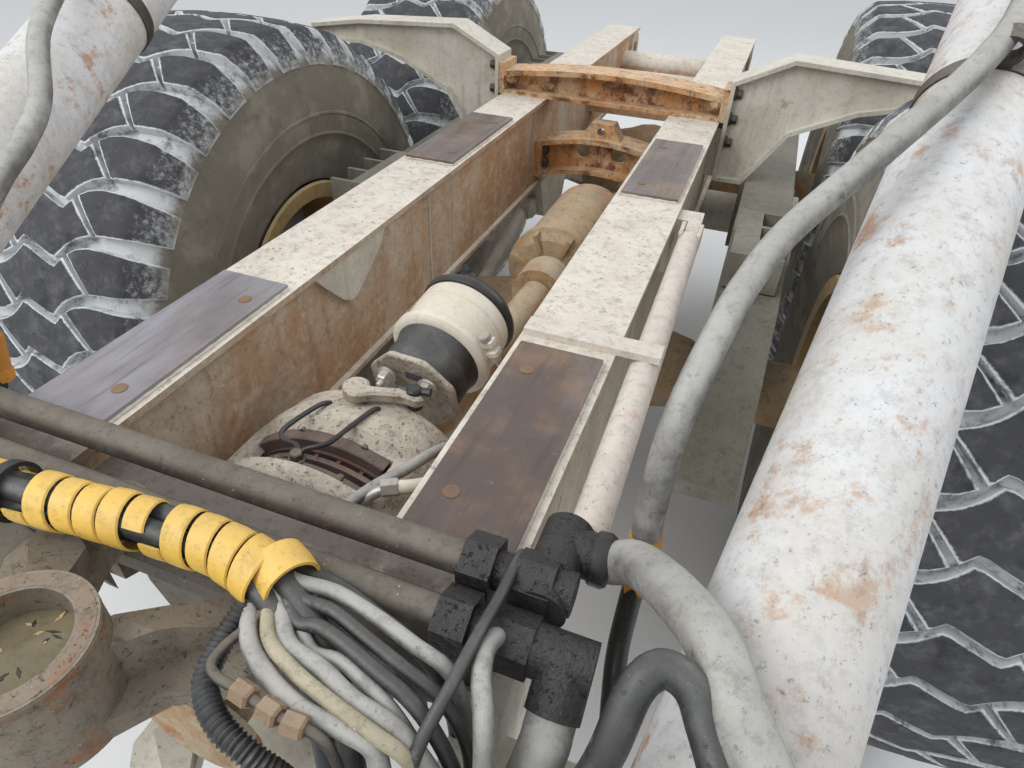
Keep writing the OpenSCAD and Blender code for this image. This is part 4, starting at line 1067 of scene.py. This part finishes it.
@dataclass
class FeedHoses:
    """The two thick feed hoses at the right: one crosses over the hoist cylinder, one drops beside the rail."""

    over: tuple = ((438.5, -2034, 36), (447, -2034, 36), (458, -2034, 37), (476, -2044, 60), (497, -2076, 92),
                   (526, -2116, 118), (552, -2158, 136),
                   (578, -2212, 136), (622, -2258, 104), (684, -2276, 34), (716, -2266, -50), (722, -2256, -120),
                   (722, -2256, -140), (722, -2256, -161.5))
    down: tuple = ((444, -2190.5, 3.6), (444, -2198.9, -1.9), (444, -2210.6, -9.5), (438, -2232, -45),
                   (428, -2242, -105), (426, -2242, -140),
                   (426, -2242, -158), (426, -2242, -175.5))

    def build(self) -> None:
        """Makes both hoses with their ferrules."""
        form = Form()
        for pts, r in ((self.over, 22.0), (self.down, 23.0)):
            path = spline(pts, 8)
            form.tube(path, r, 24, 0)
            ferrule(form, path[-1], path[-1] - path[-4], r, 1, 52)
        form.revolve([[27, -3], [29, 0], [29, 12], [26, 17], [22, 18]], self.over[0], (1, 0, 0), 28, 2)
        form.build("feed_hose_pair", [GREY_HOSE, ZINC, OILY_STEEL], "chassis", "hose_rubber", ("feed_hoses",))


@dataclass
class WrappedBundle:
    """Three black hoses in a yellow spiral wrap that lies over the cross pipes and drops ahead of the right rail."""

    route: tuple = ((-419.5, -2234, 68), (-400, -2234, 68), (-370, -2234, 68), (-310, -2228, 68), (-220, -2214, 68),
                    (-108, -2202, 67),
                    (25, -2188, 67), (120, -2186, 66), (190, -2204, 50), (240, -2232, 12), (276, -2272, -60),
                    (288, -2292, -125),
                    (288, -2292, -143), (288, -2292, -161.5))
    radius: float = 28.0
    # the hoses inside: how many, their radius, how far out they lie, and the run in which they twist by one radian
    strands: int = 3
    strand_r: float = 12.5
    strand_out: float = 12.0
    twist: float = 260.0
    # columns: where a stretch of band starts and stops along the run, its lead, its width
    bands: tuple = ((6, 262, 30, 27.5), (292, 430, 28, 25.5), (450, 572, 28, 25.5))
    # columns: share of the band's width, height over the wrap's radius
    skin: tuple = ((0.0, -1.2), (0.06, 0.6), (0.5, 1.0), (0.94, 0.6), (1.0, -1.2), (0.94, -2.4), (0.5, -2.4),
                   (0.06, -2.4))

    def build(self) -> None:
        """Winds the band: point = path(lead * turns + band * v) + radius * (cos 2 pi turns * n + sin 2 pi turns * b),
        outside and inside walls joined at the edges; the hoses run inside it on a three-start helix."""
        path = spline(self.route, 10)
        n, b = carried_frames(path)
        run = run_along(path)
        form = Form()
        for k in range(self.strands):
            angle = run / self.twist + k * 2 * math.pi / self.strands
            form.tube(path + self.strand_out * around(angle, n, b), self.strand_r, 12, 1)
        v, skin = np.array(self.skin).T
        for start, stop, lead, band in self.bands:
            wound = np.linspace(0, (stop - start) / lead, int((stop - start) / lead * 26) + 2)
            along = np.clip(start + lead * wound[:, None] + band * v[None], 0, run[-1])
            at, nn, bb = (at_run(q, run, along) for q in (path, n, b))
            swell = 1.2 * np.sin(wound * 2.1)[:, None] + 0.8 * np.sin(along / 90.0)
            a = (2 * math.pi * wound)[:, None]
            pts = at + (self.radius + skin[None] + swell)[..., None] * around(a, unit(nn), unit(bb))
            form.add(pts, grid_faces(*along.shape, wrap_cols=True), 0).cap(len(v), len(pts), 0, flip=False)
        # the rolled mouth of the wrap, a band, and the collars at both ends
        mouth = spline(((152, -2174, 63), (166, -2181, 63), (180, -2188, 62), (194, -2195, 60)), 6)
        form.ring([[25, -17], [28.5, -17], [29.5, 0], [28.5, 17], [25, 17], [26, 0]], mouth[9], mouth[10] - mouth[8],
                  36, 0)
        k = int(np.argmin(np.abs(run - 280.0)))
        form.ring([[28, -7], [32.5, -6], [32.5, 6], [28, 7]], path[k], path[k + 1] - path[k - 1], 28, 2)
        for at, w in ((path[0], path[0] - path[3]), (path[-1], path[-1] - path[-4])):
            form.ring([[30, -26], [33, -24], [33, -6], [30, -4], [24, -4], [24, -26]], at, w, 28, 2)
        form.build("wrapped_hose_bundle", [YELLOW_WRAP, BLACK_RUBBER, OILY_STEEL], "chassis", "wrap_plastic",
                   ("hose_bundle",))


@dataclass
class HoistHoses:
    """A hose on each hoist cylinder, from the port at the base, over the side of the barrel to the port on its head."""

    base: tuple = (553.0, -2440.0, -118.0)
    splay: float = 11.1
    rise: float = 23.4
    hose_r: float = 16.0
    # the first stretch from the base is a thinner, bare hose; it ends at this distance along the run
    bare_r: float = 12.5
    joint: float = 330.0
    clips: tuple = (1180.0, 1500.0, 1950.0)
    # columns: to the side, up and along the barrel from the base pin
    route: tuple = ((-90, -40.5, 207), (-90, -50, 207), (-90, -60, 207), (-93, -84, 214), (-112, -118, 262),
                    (-142, -128, 340), (-152, -100, 395),
                    (-155, -55, 440), (-160, 10, 480), (-163, 75, 545), (-162, 95, 640), (-158, 97, 720),
                    (-140, 102, 805), (-80, 124, 940),
                    (-22, 112, 1130), (0, 102, 1300), (0, 102, 1700), (0, 102, 2100), (0, 102, 2317.5))

    def axes(self, side: Side) -> tuple[Array, Array, Array, Array]:
        """The cylinder's base, side, up and along directions: along leans out by the splay and up by the rise.

        Args:
            side: which cylinder.

        Returns:
            The base as a point, and the three directions.
        """
        p, q = math.radians(self.splay), math.radians(self.rise)
        along = np.array([math.sin(p) * math.cos(q), math.cos(p) * math.cos(q), math.sin(q)])
        across = np.array([math.cos(p), -math.sin(p), 0.0])
        up = np.cross(across, along)
        flip = np.array([side.value, 1.0, 1.0])
        return tuple(v * flip for v in (np.array(self.base), across, up, along))

    def build(self) -> None:
        """Makes the hoses with ferrules, nuts and a clip on the barrel."""
        for side in Side:
            base, across, up, along = self.axes(side)
            r = np.array(self.route, float)
            path = spline(base + r[:, :1] * across + r[:, 1:2] * up + r[:, 2:] * along, 7)
            low = int(np.argmin(np.abs(run_along(path) - self.joint)))
            form = Form().tube(path[low:], self.hose_r, 18, 0).tube(path[:low + 3], self.bare_r, 18, 4)
            ferrule(form, path[-1], path[-1] - path[-6], self.hose_r, 1, 40)
            ferrule(form, path[0], path[0] - path[3], self.hose_r, 2, 38)
            # swaged joint with its nut
            w = unit(path[low + 2] - path[low - 2])
            sleeve = [[13, -52], [17, -50], [17, -34], [16.5, -32], [17.5, -28], [18, 20], [17, 24], [16, 26]]
            form.revolve(sleeve, path[low], w, 24, 5)
            form.revolve([[19.5, -50], [19.5, -34], [17.5, -30]], path[low], w, 6, 5)
            for s in self.clips:
                # clip on its foot: a ring round the hose and a strap round the barrel
                c = base + s * along
                form.ring([[15, -14], [20, -14], [20, 14], [15, 14]], c + 104 * up, along, 22, 3)
                form.prism([[-14, 76], [14, 76], [10, 90], [-10, 90]], -12, 12, c, (across, up), 1.5, 3)
                form.ring([[79.6, -13], [83, -13], [83, 13], [79.6, 13]], c, along, 56, 3)
            form.build(f"hoist_hose_assembly_{side.word}",
                       [GREY_HOSE, BRASS, ZINC, DUSTY_STEEL, OILY_STEEL, YELLOW_FERRULE],
                       f"hoist_barrel_body_{side.word}", "hose_rubber", (f"hoist_hose_{side.word}",))


@dataclass
class HoseFan:
    """The loose hoses that leave the mouth of the wrap, spread over the pipe ends and drop to their sockets, with
    the corrugated conduit, the bent steel tube, the strap and the big black loop beside the cylinder."""

    # columns: radius, finish number; then the stations
    hoses: tuple = (
        (8.5, 1, ((150, -2196, 58), (159, -2217, 50), (181, -2248, 56), (218, -2271, 60), (261, -2285, 60),
                  (301, -2285, 56), (327, -2287, 46),
                  (338, -2300, 8), (338, -2314, -60), (338, -2318, -120), (338, -2318, -161.5))),
        (6.5, 2, ((160, -2194, 62), (173, -2210, 55), (200, -2244, 62), (238, -2262, 66), (283, -2274, 66),
                  (325, -2281, 60), (352, -2281, 40),
                  (364, -2281, -10), (368, -2281, -90), (368, -2281, -175.5))),
        (8.5, 1, ((172, -2196, 62), (191, -2215, 55), (217, -2241, 58), (257, -2251, 60), (294, -2263, 58),
                  (334, -2268, 52), (362, -2273, 24),
                  (382, -2276, -30), (388, -2276, -100), (388, -2276, -175.5))),
        (7.0, 0, ((186, -2200, 62), (210, -2219, 55), (233, -2218, 60), (264, -2225, 62), (299, -2235, 60),
                  (331, -2243, 56), (358, -2252, 40),
                  (380, -2256, -20), (386, -2256, -100), (386, -2256, -175.5))),
        (6.5, 1, ((216, -2222, 52), (238, -2236, 50), (265, -2236, 54), (295, -2245, 54), (325, -2255, 48),
                  (350, -2264, 22), (362, -2262, -40),
                  (364, -2262, -110), (364, -2262, -175.5))),
        (6.5, 0, ((176, -2190, 66), (198, -2200, 62), (236, -2201, 62), (277, -2212, 60), (316, -2222, 56),
                  (356, -2228, 40), (380, -2232, -10),
                  (386, -2234, -90), (386, -2234, -175.5))),
        (7.0, 1, ((166, -2184, 66), (190, -2188, 66), (229, -2184, 64), (273, -2190, 60), (316, -2199, 54),
                  (352, -2203, 38), (368, -2208, -20),
                  (372, -2212, -100), (372, -2212, -175.5))),
        (8.0, 0, ((160, -2172, 58), (182, -2172, 58), (223, -2171, 50), (271, -2181, 42), (317, -2192, 34),
                  (344, -2198, 6), (354, -2200, -60),
                  (356, -2200, -120), (356, -2200, -175.5))),
        (9.0, 1, ((381, -2146, 22), (380, -2163, 50), (378, -2184, 62), (385, -2211, 66), (397, -2235, 56),
                  (406, -2256, 20), (408, -2268, -40),
                  (404, -2276, -110), (404, -2276, -175.5))),
        (6.0, 0, ((371, -2070, 52), (371, -2092, 62), (371, -2134, 66), (369, -2187, 74), (366, -2232, 72),
                  (358, -2270, 50), (352, -2292, 0),
                  (350, -2298, -90), (350, -2298, -161.5))),
        (14.0, 0, ((470, -2262, -175.5), (470, -2262, -120), (474, -2260, -50), (484, -2256, 30), (496, -2244, 96),
                   (504, -2214, 136), (519, -2197, 146),
                   (541, -2201, 142), (558, -2222, 128), (584, -2262, 112), (622, -2296, 92), (664, -2318, 40),
                   (686, -2318, -30), (694, -2302, -100),
                   (694, -2290, -130), (694, -2288, -161.5))),
    )
    tube: tuple = ((176, -2214, 56), (173, -2234, 54), (169, -2262, 60), (172, -2282, 64), (186, -2290, 66),
                   (210, -2293, 68), (234, -2297, 69),
                   (258, -2300, 69), (279, -2299, 66), (296, -2300, 50), (306, -2306, 0), (308, -2316, -60),
                   (308, -2318, -120), (308, -2318, -161.5))
    conduit: tuple = ((150, -2188, 54), (154, -2208, 52), (155, -2250, 46), (167, -2290, 46), (200, -2314, 46),
                      (236, -2322, 36), (262, -2320, 4),
                      (274, -2318, -60), (276, -2318, -120), (276, -2318, -161.5))

    ripple: float = 5.0

    def build(self) -> None:
        """Carries each hose along its curve, with a ferrule at its socket; the conduit's radius waves once a ripple."""
        form = Form()
        for r, mark, pts in self.hoses:
            path = spline(pts, 9)
            form.tube(path, r, 14, mark)
            ferrule(form, path[-1], path[-1] - path[-5], r, 3, 2.6 * r + 4)
        path = spline(self.tube, 10)
        form.tube(path, 4.5, 12, 4)
        for k in (52, 64, 74):
            form.revolve([[10, -8], [10, 8], [7.5, 10]], path[k], path[k + 1] - path[k - 1], 6, 5)
        ferrule(form, path[-1], path[-1] - path[-5], 5, 3, 18)
        path = spline(self.conduit, 4)
        run = run_along(path)
        u = np.arange(0, run[-1], self.ripple / 4)
        waves = np.append(10 + 1.3 * np.cos(u * 2 * math.pi / self.ripple), 10)
        form.tube(np.vstack([at_run(path, run, u), path[-1:]]), waves, 14, 0)
        form.ring([[8.5, -30], [14, -30], [14, -2], [8.5, -2]], path[-1], (0, 0, -1), 20, 3)
        form.build("loose_hose_fan", [BLACK_RUBBER, GREY_HOSE, SAND_HOSE, ZINC, DUSTY_STEEL, FLASH_RUSTED], "chassis",
                   "hose_rubber")


@dataclass
class ParkingBrake:
    """The brake on the shaft: wires, fitting and hose on the cast caliper, and the spring chamber behind it."""

    brake_y: float = -1905.0
    shaft_z: float = -300.0
    disc_r: float = 190.0
    # the middles of the chamber's front and rear
    chamber_a: tuple = (28.0, -1668.0, -140.0)
    chamber_b: tuple = (46.0, -1430.0, -88.0)
    # the middle of the window: degrees from the right, and length behind the disc
    window: tuple = (98.0, 6.0)

    def chamber(self) -> None:
        """Turns the chamber from its section: dark dome, clamp band with its lug, cream shell with a seam, dark rear
        ring; the eight-sided plate in front carries two studs with nuts and a slot."""
        a, b = np.array(self.chamber_a), np.array(self.chamber_b)
        w = unit(b - a)
        u, v, _ = basis(w)
        form = Form()
        # columns: facets, finish; then the section's radius and distance along
        for sides, mark, section in (
                (56, 1, ((66, 0.5), (74, 5), (78, 14), (80, 40), (79, 66), (82, 84), (86, 92))),
                (64, 0, ((84, 88), (92, 90), (96, 93), (99, 96), (99, 107), (96, 110), (90, 112))),
                (64, 0, ((88, 106), (92, 118), (93, 150), (93, 166), (91.6, 167), (91.6, 169), (93, 170), (92.5, 196),
                         (90, 204))),
                (64, 2, ((90, 198), (95, 201), (97, 206), (97, 215), (94, 221), (88, 226), (82, 236), (66, 244)))):
            form.revolve(section, a, w, sides, mark)
        # the clamp band's lug: two jaws drawn together by a bolt
        d = unit(np.array([0.93, 0.0, 0.38]))
        lug, side = a + 101 * w + 106 * d, np.cross(w, d)
        jaw = rounded([[-10, -16], [10, -16], [10, 14], [-10, 14]], 4, 3)
        for low, high in ((-18, -5), (5, 18)):
            form.prism(jaw, low, high, lug, (w, d), 2, 0)
        for e in (-1, 1):
            form.bolt(lug + e * 17.5 * side, e * side, 20, 3, False, tip=e > 0)
        thick = 12
        form.prism(rounded(on_circle(91, np.radians(np.arange(8) * 45 + 22.5)), 9, 3), -thick, 0, a, (-u, v), 2.5, 4)

        def on_plate(at: tuple) -> Array:
            """Drops a point on the plate's front face, along the chamber's axis."""
            q = np.array(at, float)
            return q - ((q - a) @ w + thick) * w

        for at in ((-10, -1686, -100), (70, -1690, -97)):
            form.bolt(on_plate(at), -w, 24, 3, tip=True)
        slot = rounded([[-18, -9], [18, -9], [16, 9], [-16, 9]], 5)
        form.prism(slot, -1.0, 1.0, on_plate((46, -1696, -84)), (-u, v), 0.4, 1)
        form.build("spring_brake_chamber", [CREAM_PAINT, BLACK_RUBBER, OILY_STEEL, ZINC, CALIPER_PAINT], "chassis",
                   "cream_paint", ("brake_chamber",))

    def slab(self, form: Form, outer: tuple, inner: tuple, low: float, high: float, bevel: float, mark: int) -> None:
        """Adds a plate square to the shaft, between an outer and an inner arc and from low to high behind the disc."""
        outline = np.vstack([arc(*outer), arc(*inner)])
        form.prism(outline, -high - self.brake_y, -low - self.brake_y, (0, 0, self.shaft_z), CROSSWISE, bevel, mark)

    def hood(self, form: Form) -> None:
        """Adds the hood over the disc. Its radius is given at angles from the right and lengths along the shaft; it
        falls towards both ends and out to the sides, with a boss, and a rimmed window is cut in its top.

        Args:
            form: the caliper.
        """
        ang, lon = np.meshgrid(np.radians(np.linspace(8, 172, 49)), np.linspace(-72, 172, 33), indexing="ij")
        deg = np.degrees(ang)
        from_deg, from_lon = np.abs(deg - self.window[0]), np.abs(lon - self.window[1])
        crown = 214 + 8 * np.cos(np.radians(deg - 95)) - 22 * np.clip((np.abs(deg - 92) - 62) / 24, 0, 1) ** 2
        ends = 26 * np.clip((np.abs(lon - 46) - 96) / 26, 0, 1) ** 2 + 10 * np.clip((lon - 90) / 40, 0, 1)
        boss = 12 * np.exp(-((deg - 62) / 16) ** 2 - ((lon - 110) / 40) ** 2)
        sunk = np.clip(1.25 - np.maximum(from_deg / 38, from_lon / 46) ** 4, 0, 1)
        rim = np.clip(1 - np.abs(np.maximum(from_deg / 40, from_lon / 48) - 1.02) / 0.12, 0, 1)
        out = crown - ends + boss - 14 * sunk + 5 * rim

        def shell(r: Array) -> Array:
            """Turns radii into points."""
            across, up = r * np.cos(ang), self.shaft_z + r * np.sin(ang)
            return np.stack([across, self.brake_y + lon, up], -1).reshape(-1, 3)

        hole = (from_deg < 36) & (from_lon < 42)
        cell = ~(hole[:-1, :-1] & hole[1:, :-1] & hole[1:, 1:] & hole[:-1, 1:])
        quads = grid_faces(*out.shape)[cell.reshape(-1)]
        # edges with a face on one side only are joined to the inner shell
        n = out.size
        edges = np.vstack([quads[:, [k, (k + 1) % 4]] for k in range(4)])
        _, which, times = np.unique(np.sort(edges, 1) @ np.array([n, 1]), return_inverse=True, return_counts=True)
        border = edges[times[which] == 1]
        skirt = np.stack([border[:, 1], border[:, 0], border[:, 0] + n, border[:, 1] + n], 1)
        pts = np.concatenate([shell(out), shell(np.minimum(self.disc_r + 4.0, out - 6))])
        form.add(pts, np.vstack([quads, quads[:, ::-1] + n, skirt]), 0)

    def lever(self, form: Form) -> None:
        """Adds the lever: a dog-bone link lying on the hood, with its boss and pin.

        Args:
            form: the caliper.
        """
        z, y0 = self.shaft_z, self.brake_y
        p, q = np.array([-8.0, y0 + 118, z + 224]), np.array([74.0, y0 + 160, z + 210])
        d = unit(q - p)
        side = unit(np.cross(UP, d))
        length = float(np.linalg.norm(q - p))
        s = np.linspace(-14, length + 12, 30)
        width = 10 + 8 * np.exp(-(s / 16) ** 2) + 9 * np.exp(-((s - length) / 15) ** 2)
        o = np.vstack([np.stack([s, width], 1), np.stack([s[::-1], -width[::-1]], 1)])
        form.prism(o, 0, 20, p, (d, side), 4, 0)
        form.revolve([[22, -12], [22, 8], [18, 12]], p + 16 * side + [0, 0, 4], UP, 30, 0)
        form.revolve([[13, -10], [13, 26], [10, 30]], q, UP, 20, 2)
        form.tube([q + [-26, 0, 20], q + [26, 6, 22]], 7, 10, 2)

    def caliper(self) -> None:
        """Casts the caliper: the hood, a cheek at each side with an arched opening, the inner arch, two pads with
        their backing plates in the window, either side of the disc, and the lever by the chamber."""
        form = Form()
        self.hood(form)
        for low, high, hollow in ((-76, -44, 128), (66, 96, 118)):
            self.slab(form, (204, 6, 174, 25), (hollow, 172, 8, 21), low, high, 4, 0)
        self.slab(form, (140, 12, 168, 25), (124, 166, 14, 21), -84, -66, 3, 0)
        for e in (-1, 1):
            self.slab(form, (209, 64, 132, 15), (150, 132, 64, 15), 34 * e - 12, 34 * e + 12, 2, 1)
            self.slab(form, (214, 66, 130, 15), (150, 130, 66, 15), 52 * e - 4, 52 * e + 4, 1, 2)
        self.lever(form)
        form.build("cast_brake_caliper", [CALIPER_PAINT, PAD_LINING, OILY_STEEL], "chassis", "dusty_steel",
                   ("brake_caliper",))

    def fittings(self) -> None:
        """Adds what sits on the casting: backing plates of the pads, clip wires with their bolt, the arch in front,
        and a silver fitting with its hose."""
        z, y0 = self.shaft_z, self.brake_y
        form = Form()
        for y in (-34, 50):
            self.slab(form, (209, 72, 112, 15), (160, 112, 72, 15), y - 4, y + 4, 1, 1)
            for deg in (76, 106):
                x, up = 207 * math.cos(math.radians(deg)), z + 207 * math.sin(math.radians(deg))
                form.tube([[x, y0 + y - 12, up], [x, y0 + y + 12, up]], 6, 10, 2)
        for wire in (((-44, -1806, -84), (-50, -1824, -76), (-60, -1872, -72), (-63, -1903, -72), (-50, -1914, -74),
                      (-30, -1915, -78), (-24, -1924, -84)),
                     ((34, -1790, -84), (31, -1806, -76), (22, -1862, -72), (15, -1894, -72), (2, -1908, -74),
                      (-13, -1916, -78), (-20, -1924, -84))):
            form.tube(spline(wire, 7), 4, 10, 1)
        form.bolt((-23, -1927, -92), UP, 18, 2)
        # inner arch: a low rim in front of the mouth of the casting
        for r, y, t in ((150, -72, 5), (172, -71, 4)):
            self.slab(form, (r, 34, 146, 31), (r - 9, 146, 34, 31), y - t, y, 1.5, 0)
        # silver elbow with a pale hose end and the speckled hose that passes under it
        form.tube(spline(((96, -1962, -116), (108, -1956, -94), (122, -1946, -82), (140, -1934, -78)), 6), 8, 14, 3)
        form.revolve([[12, -9], [12, 9], [10, 11]], (99, -1960, -112), (0.4, 0.2, 0.9), 6, 3)
        form.revolve([[13, -12], [13, 10], [11, 12]], (136, -1936, -78), (0.9, 0.42, 0.1), 6, 3)
        form.tube(spline(((142, -1933, -78), (160, -1924, -78), (176, -1906, -84), (184, -1880, -100),
                          (186, -1850, -132)), 6), 10, 14, 4)
        form.tube(spline(((64, -2000, -150), (76, -1996, -118), (90, -1978, -92), (112, -1936, -84), (136, -1890, -84),
                          (152, -1840, -92), (160, -1790, -118), (162, -1750, -160)), 8), 8.5, 14, 5)
        form.build("caliper_fittings", [CALIPER_PAINT, OILY_STEEL, DUSTY_STEEL, ZINC, CREAM_PAINT, GREY_HOSE],
                   "chassis",
                   "dusty_steel")

    def build(self) -> None:
        """Builds the three pieces."""
        self.caliper()
        self.fittings()
        self.chamber()


@dataclass
class Kingpin:
    """What lies on the upper yoke: muddy water with leaf bits in the bore, bolts and washers on the arm ends, dirt."""

    centre: tuple = (0.0, -2330.0, 0.0)
    bore_r: float = 52.0
    water_z: float = 34.0
    foot: tuple = (125.0, -2140.0)
    leaves: int = 26

    def build(self) -> None:
        """Makes the water, its floating bits, a worn lip on the ring and the bolts."""
        form = Form()
        c, r = np.array(self.centre), self.bore_r
        form.revolve([[r + 0.5, -40], [r + 0.5, self.water_z - 1], [r - 6, 34.2]], c, UP, 64, 0)
        rng = np.random.default_rng(7)
        for k in range(self.leaves):
            a, out, t = rng.uniform(0, 2 * math.pi), r * 0.92 * math.sqrt(rng.uniform(0.05, 1)), rng.uniform(0,
                                                                                                             math.pi)
            n, m = rng.uniform(2, 8), rng.uniform(1, 3)
            at = c + [out * math.cos(a), out * math.sin(a), self.water_z]
            flat = (math.cos(t), math.sin(t), 0), (-math.sin(t), math.cos(t), 0)
            form.prism([[-n, 0], [0, -m], [n, 0], [0, m]], -0.5, 0.8, at, flat, 0.2, 1 + k % 2)
        form.ring([[r, 62], [r + 3, 66.5], [69, 66.5], [72.5, 63], [72.5, 57], [r, 57]], c, UP, 64, 3)
        for side in (-1, 1):
            x, y = self.foot[0] * side, self.foot[1]
            form.revolve([[22, -13], [22, -9], [20, -8]], (x, y, 0), UP, 32, 4)
            form.bolt((x, y, -9), UP, 30, 4, False, tip=True)
        form.build("yoke_water_and_bolts", [MUDDY_WATER, CAST_ORANGE, OILY_STEEL, LIP_RUST, DUSTY_STEEL], "chassis",
                   "dusty_paint")


@dataclass
class Fasteners:
    """Bolts with washers, pad screws, weld beads and small stones on the chassis."""

    # out from the middle plane: the outer edge of a rail's flange and the inner face of its side plate
    rail_out: float = 364.0
    web_in: float = 220.0
    # where the wear pads start and stop
    pads: tuple = ((-2055, -1650), (-960, -528))
    stone_count: int = 260

    def build(self) -> None:
        """Adds the bolts of the crossmembers and arms, the pad screws, and the weld beads of the rails."""
        form = Form()
        for side in (-1, 1):
            s = np.array([side, 1.0, 1.0])
            # upper crossmember to the rails: bolts in the mouth of the channel, and through the outrigger's root
            form.bolt(np.array([342, -214, 50]) * s, (0, -1, 0), 30, 0, tip=True)
            for y, z in ((-224, -60), (-172, -60), (-224, 10), (-172, 10), (-224, 84), (-172, 84)):
                form.bolt(np.array([394, y, z]) * s, (side, 0, 0), 26, 1)
            for z in (-160, -200):
                form.bolt(np.array([196, -262, z]) * s, (0, -1, 0), 26, 1)
            # screws of the wear pads
            for y in (q for y0, y1 in self.pads for q in (y0 + 70, y1 - 70)):
                form.revolve([[11, 8], [11, 10.8], [9, 11.4]], (252 * side, y, 0), UP, 20, 3)
            # beads under the top flange and round the pads
            for x in (self.web_in, self.rail_out - 14):
                form.weld(np.array([[x * side, -2100, -13], [x * side, 1270, -13]]), 4, 2)
            for y0, y1 in self.pads:
                o = np.array([[218, y0], [352, y0], [352, y1], [218, y1], [218, y0]], float)
                form.weld(np.concatenate([o * [side, 1], np.full((5, 1), 1.0)], 1), 3.2, 2)
            # seam of the side plate
            form.weld(np.array([[219 * side, -1100, -14], [219 * side, -1100, -270]]), 3, 2)
        self.stones(form)
        form.build("bolts_and_welds", [CAST_ORANGE, DUSTY_STEEL, CHASSIS_PAINT, SCREW_STEEL], "chassis", "dusty_steel")

    def stones(self, form: Form) -> None:
        """Strews small stones over the tops of the rails: each is a box whose corners are pushed about at random.

        Args:
            form: the piece that takes them.
        """
        rng = np.random.default_rng(11)
        n = self.stone_count
        side = rng.choice([-1, 1], n)
        y = np.where(rng.random(n) < 0.6, rng.uniform(-1640, -970, n), rng.uniform(-520, 1250, n))
        # more of them lie along the edges than in the middle
        x = side * (285 + 62 * np.sign(rng.uniform(-1, 1, n)) * rng.random(n) ** 0.5)
        size = rng.uniform(0.8, 2.3, n)
        box = np.array([[i, j, k] for i in (-1, 1) for j in (-1, 1) for k in (-1, 1)], float)
        pts = box[None] * size[:, None, None] * rng.uniform(0.45, 1.0, (n, 8, 3))
        pts += np.stack([x, y, size * 0.3], 1)[:, None]
        faces = np.array([[0, 1, 3, 2], [4, 6, 7, 5], [0, 4, 5, 1], [2, 3, 7, 6], [0, 2, 6, 4], [1, 5, 7, 3]])
        form.add(pts, (faces[None] + 8 * np.arange(n)[:, None, None]).reshape(-1, 4), 2)


@dataclass
class Studio:
    """Plain pale floor, soft light from above and from the sides."""

    floor_hex: str = "#d9d9d7"

    def build(self) -> None:
        """Makes floor, world and lamps."""
        mesh = bpy.data.meshes.new("floor")
        mesh.from_pydata([(-40, -40, 0), (40, -40, 0), (40, 40, 0), (-40, 40, 0)], [], [(0, 1, 2, 3)])
        floor = link("floor", mesh)
        mat = bpy.data.materials.new("floor_paint")
        mat.use_nodes = True
        shader = mat.node_tree.nodes["Principled BSDF"]
        shader.inputs["Base Color"].default_value = linear(self.floor_hex)
        shader.inputs["Roughness"].default_value = 0.8
        mesh.materials.append(mat)
        world = bpy.data.worlds.new("studio")
        world.use_nodes = True
        world.node_tree.nodes["Background"].inputs[0].default_value = (0.92, 0.95, 1.0, 1.0)
        world.node_tree.nodes["Background"].inputs[1].default_value = 0.85
        bpy.context.scene.world = world
        # columns: name, place, aim, size, power
        for name, at, aim, size, power in (("key", (-4, -5, 7), (0, -0.5, 0.8), 6.0, 420),
                                           ("rim", (5, 5, 6), (0, 0, 0.8), 5.0, 180)):
            lamp = bpy.data.lights.new(name, "AREA")
            lamp.shape, lamp.size, lamp.energy = "SQUARE", size, power
            stand(link(name, lamp), *basis(np.array(at, float) - np.array(aim, float)), at)


def dress_nodes() -> None:
    """Gives each CAD node its finish, by the record's slot or by the table of exceptions."""
    for part in frame["record"]["subparts"]:
        obj = frame["nodes"][part["node"]]
        finish = NODE_FINISH.get(part["node"], SLOT_FINISH[part["material_slot"]])
        for place in obj.material_slots:
            place.material = finish.material()


def main() -> None:
    """Builds camera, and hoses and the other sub-assemblies in order."""
    logging.basicConfig(level=logging.INFO, format="%(message)s")
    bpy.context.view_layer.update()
    scene = bpy.context.scene
    scene.view_settings.view_transform = "Standard"
    for assembly in (Camera(), FeedHoses(), WrappedBundle(), HoseFan(), HoistHoses(), Tyres(), WheelTrim(),
                     ParkingBrake(), Kingpin(), Fasteners(), Studio()):
        assembly.build()
        LOG.info("built %s", type(assembly).__name__)
    dress_nodes()


if __name__ == "__main__":
    main()
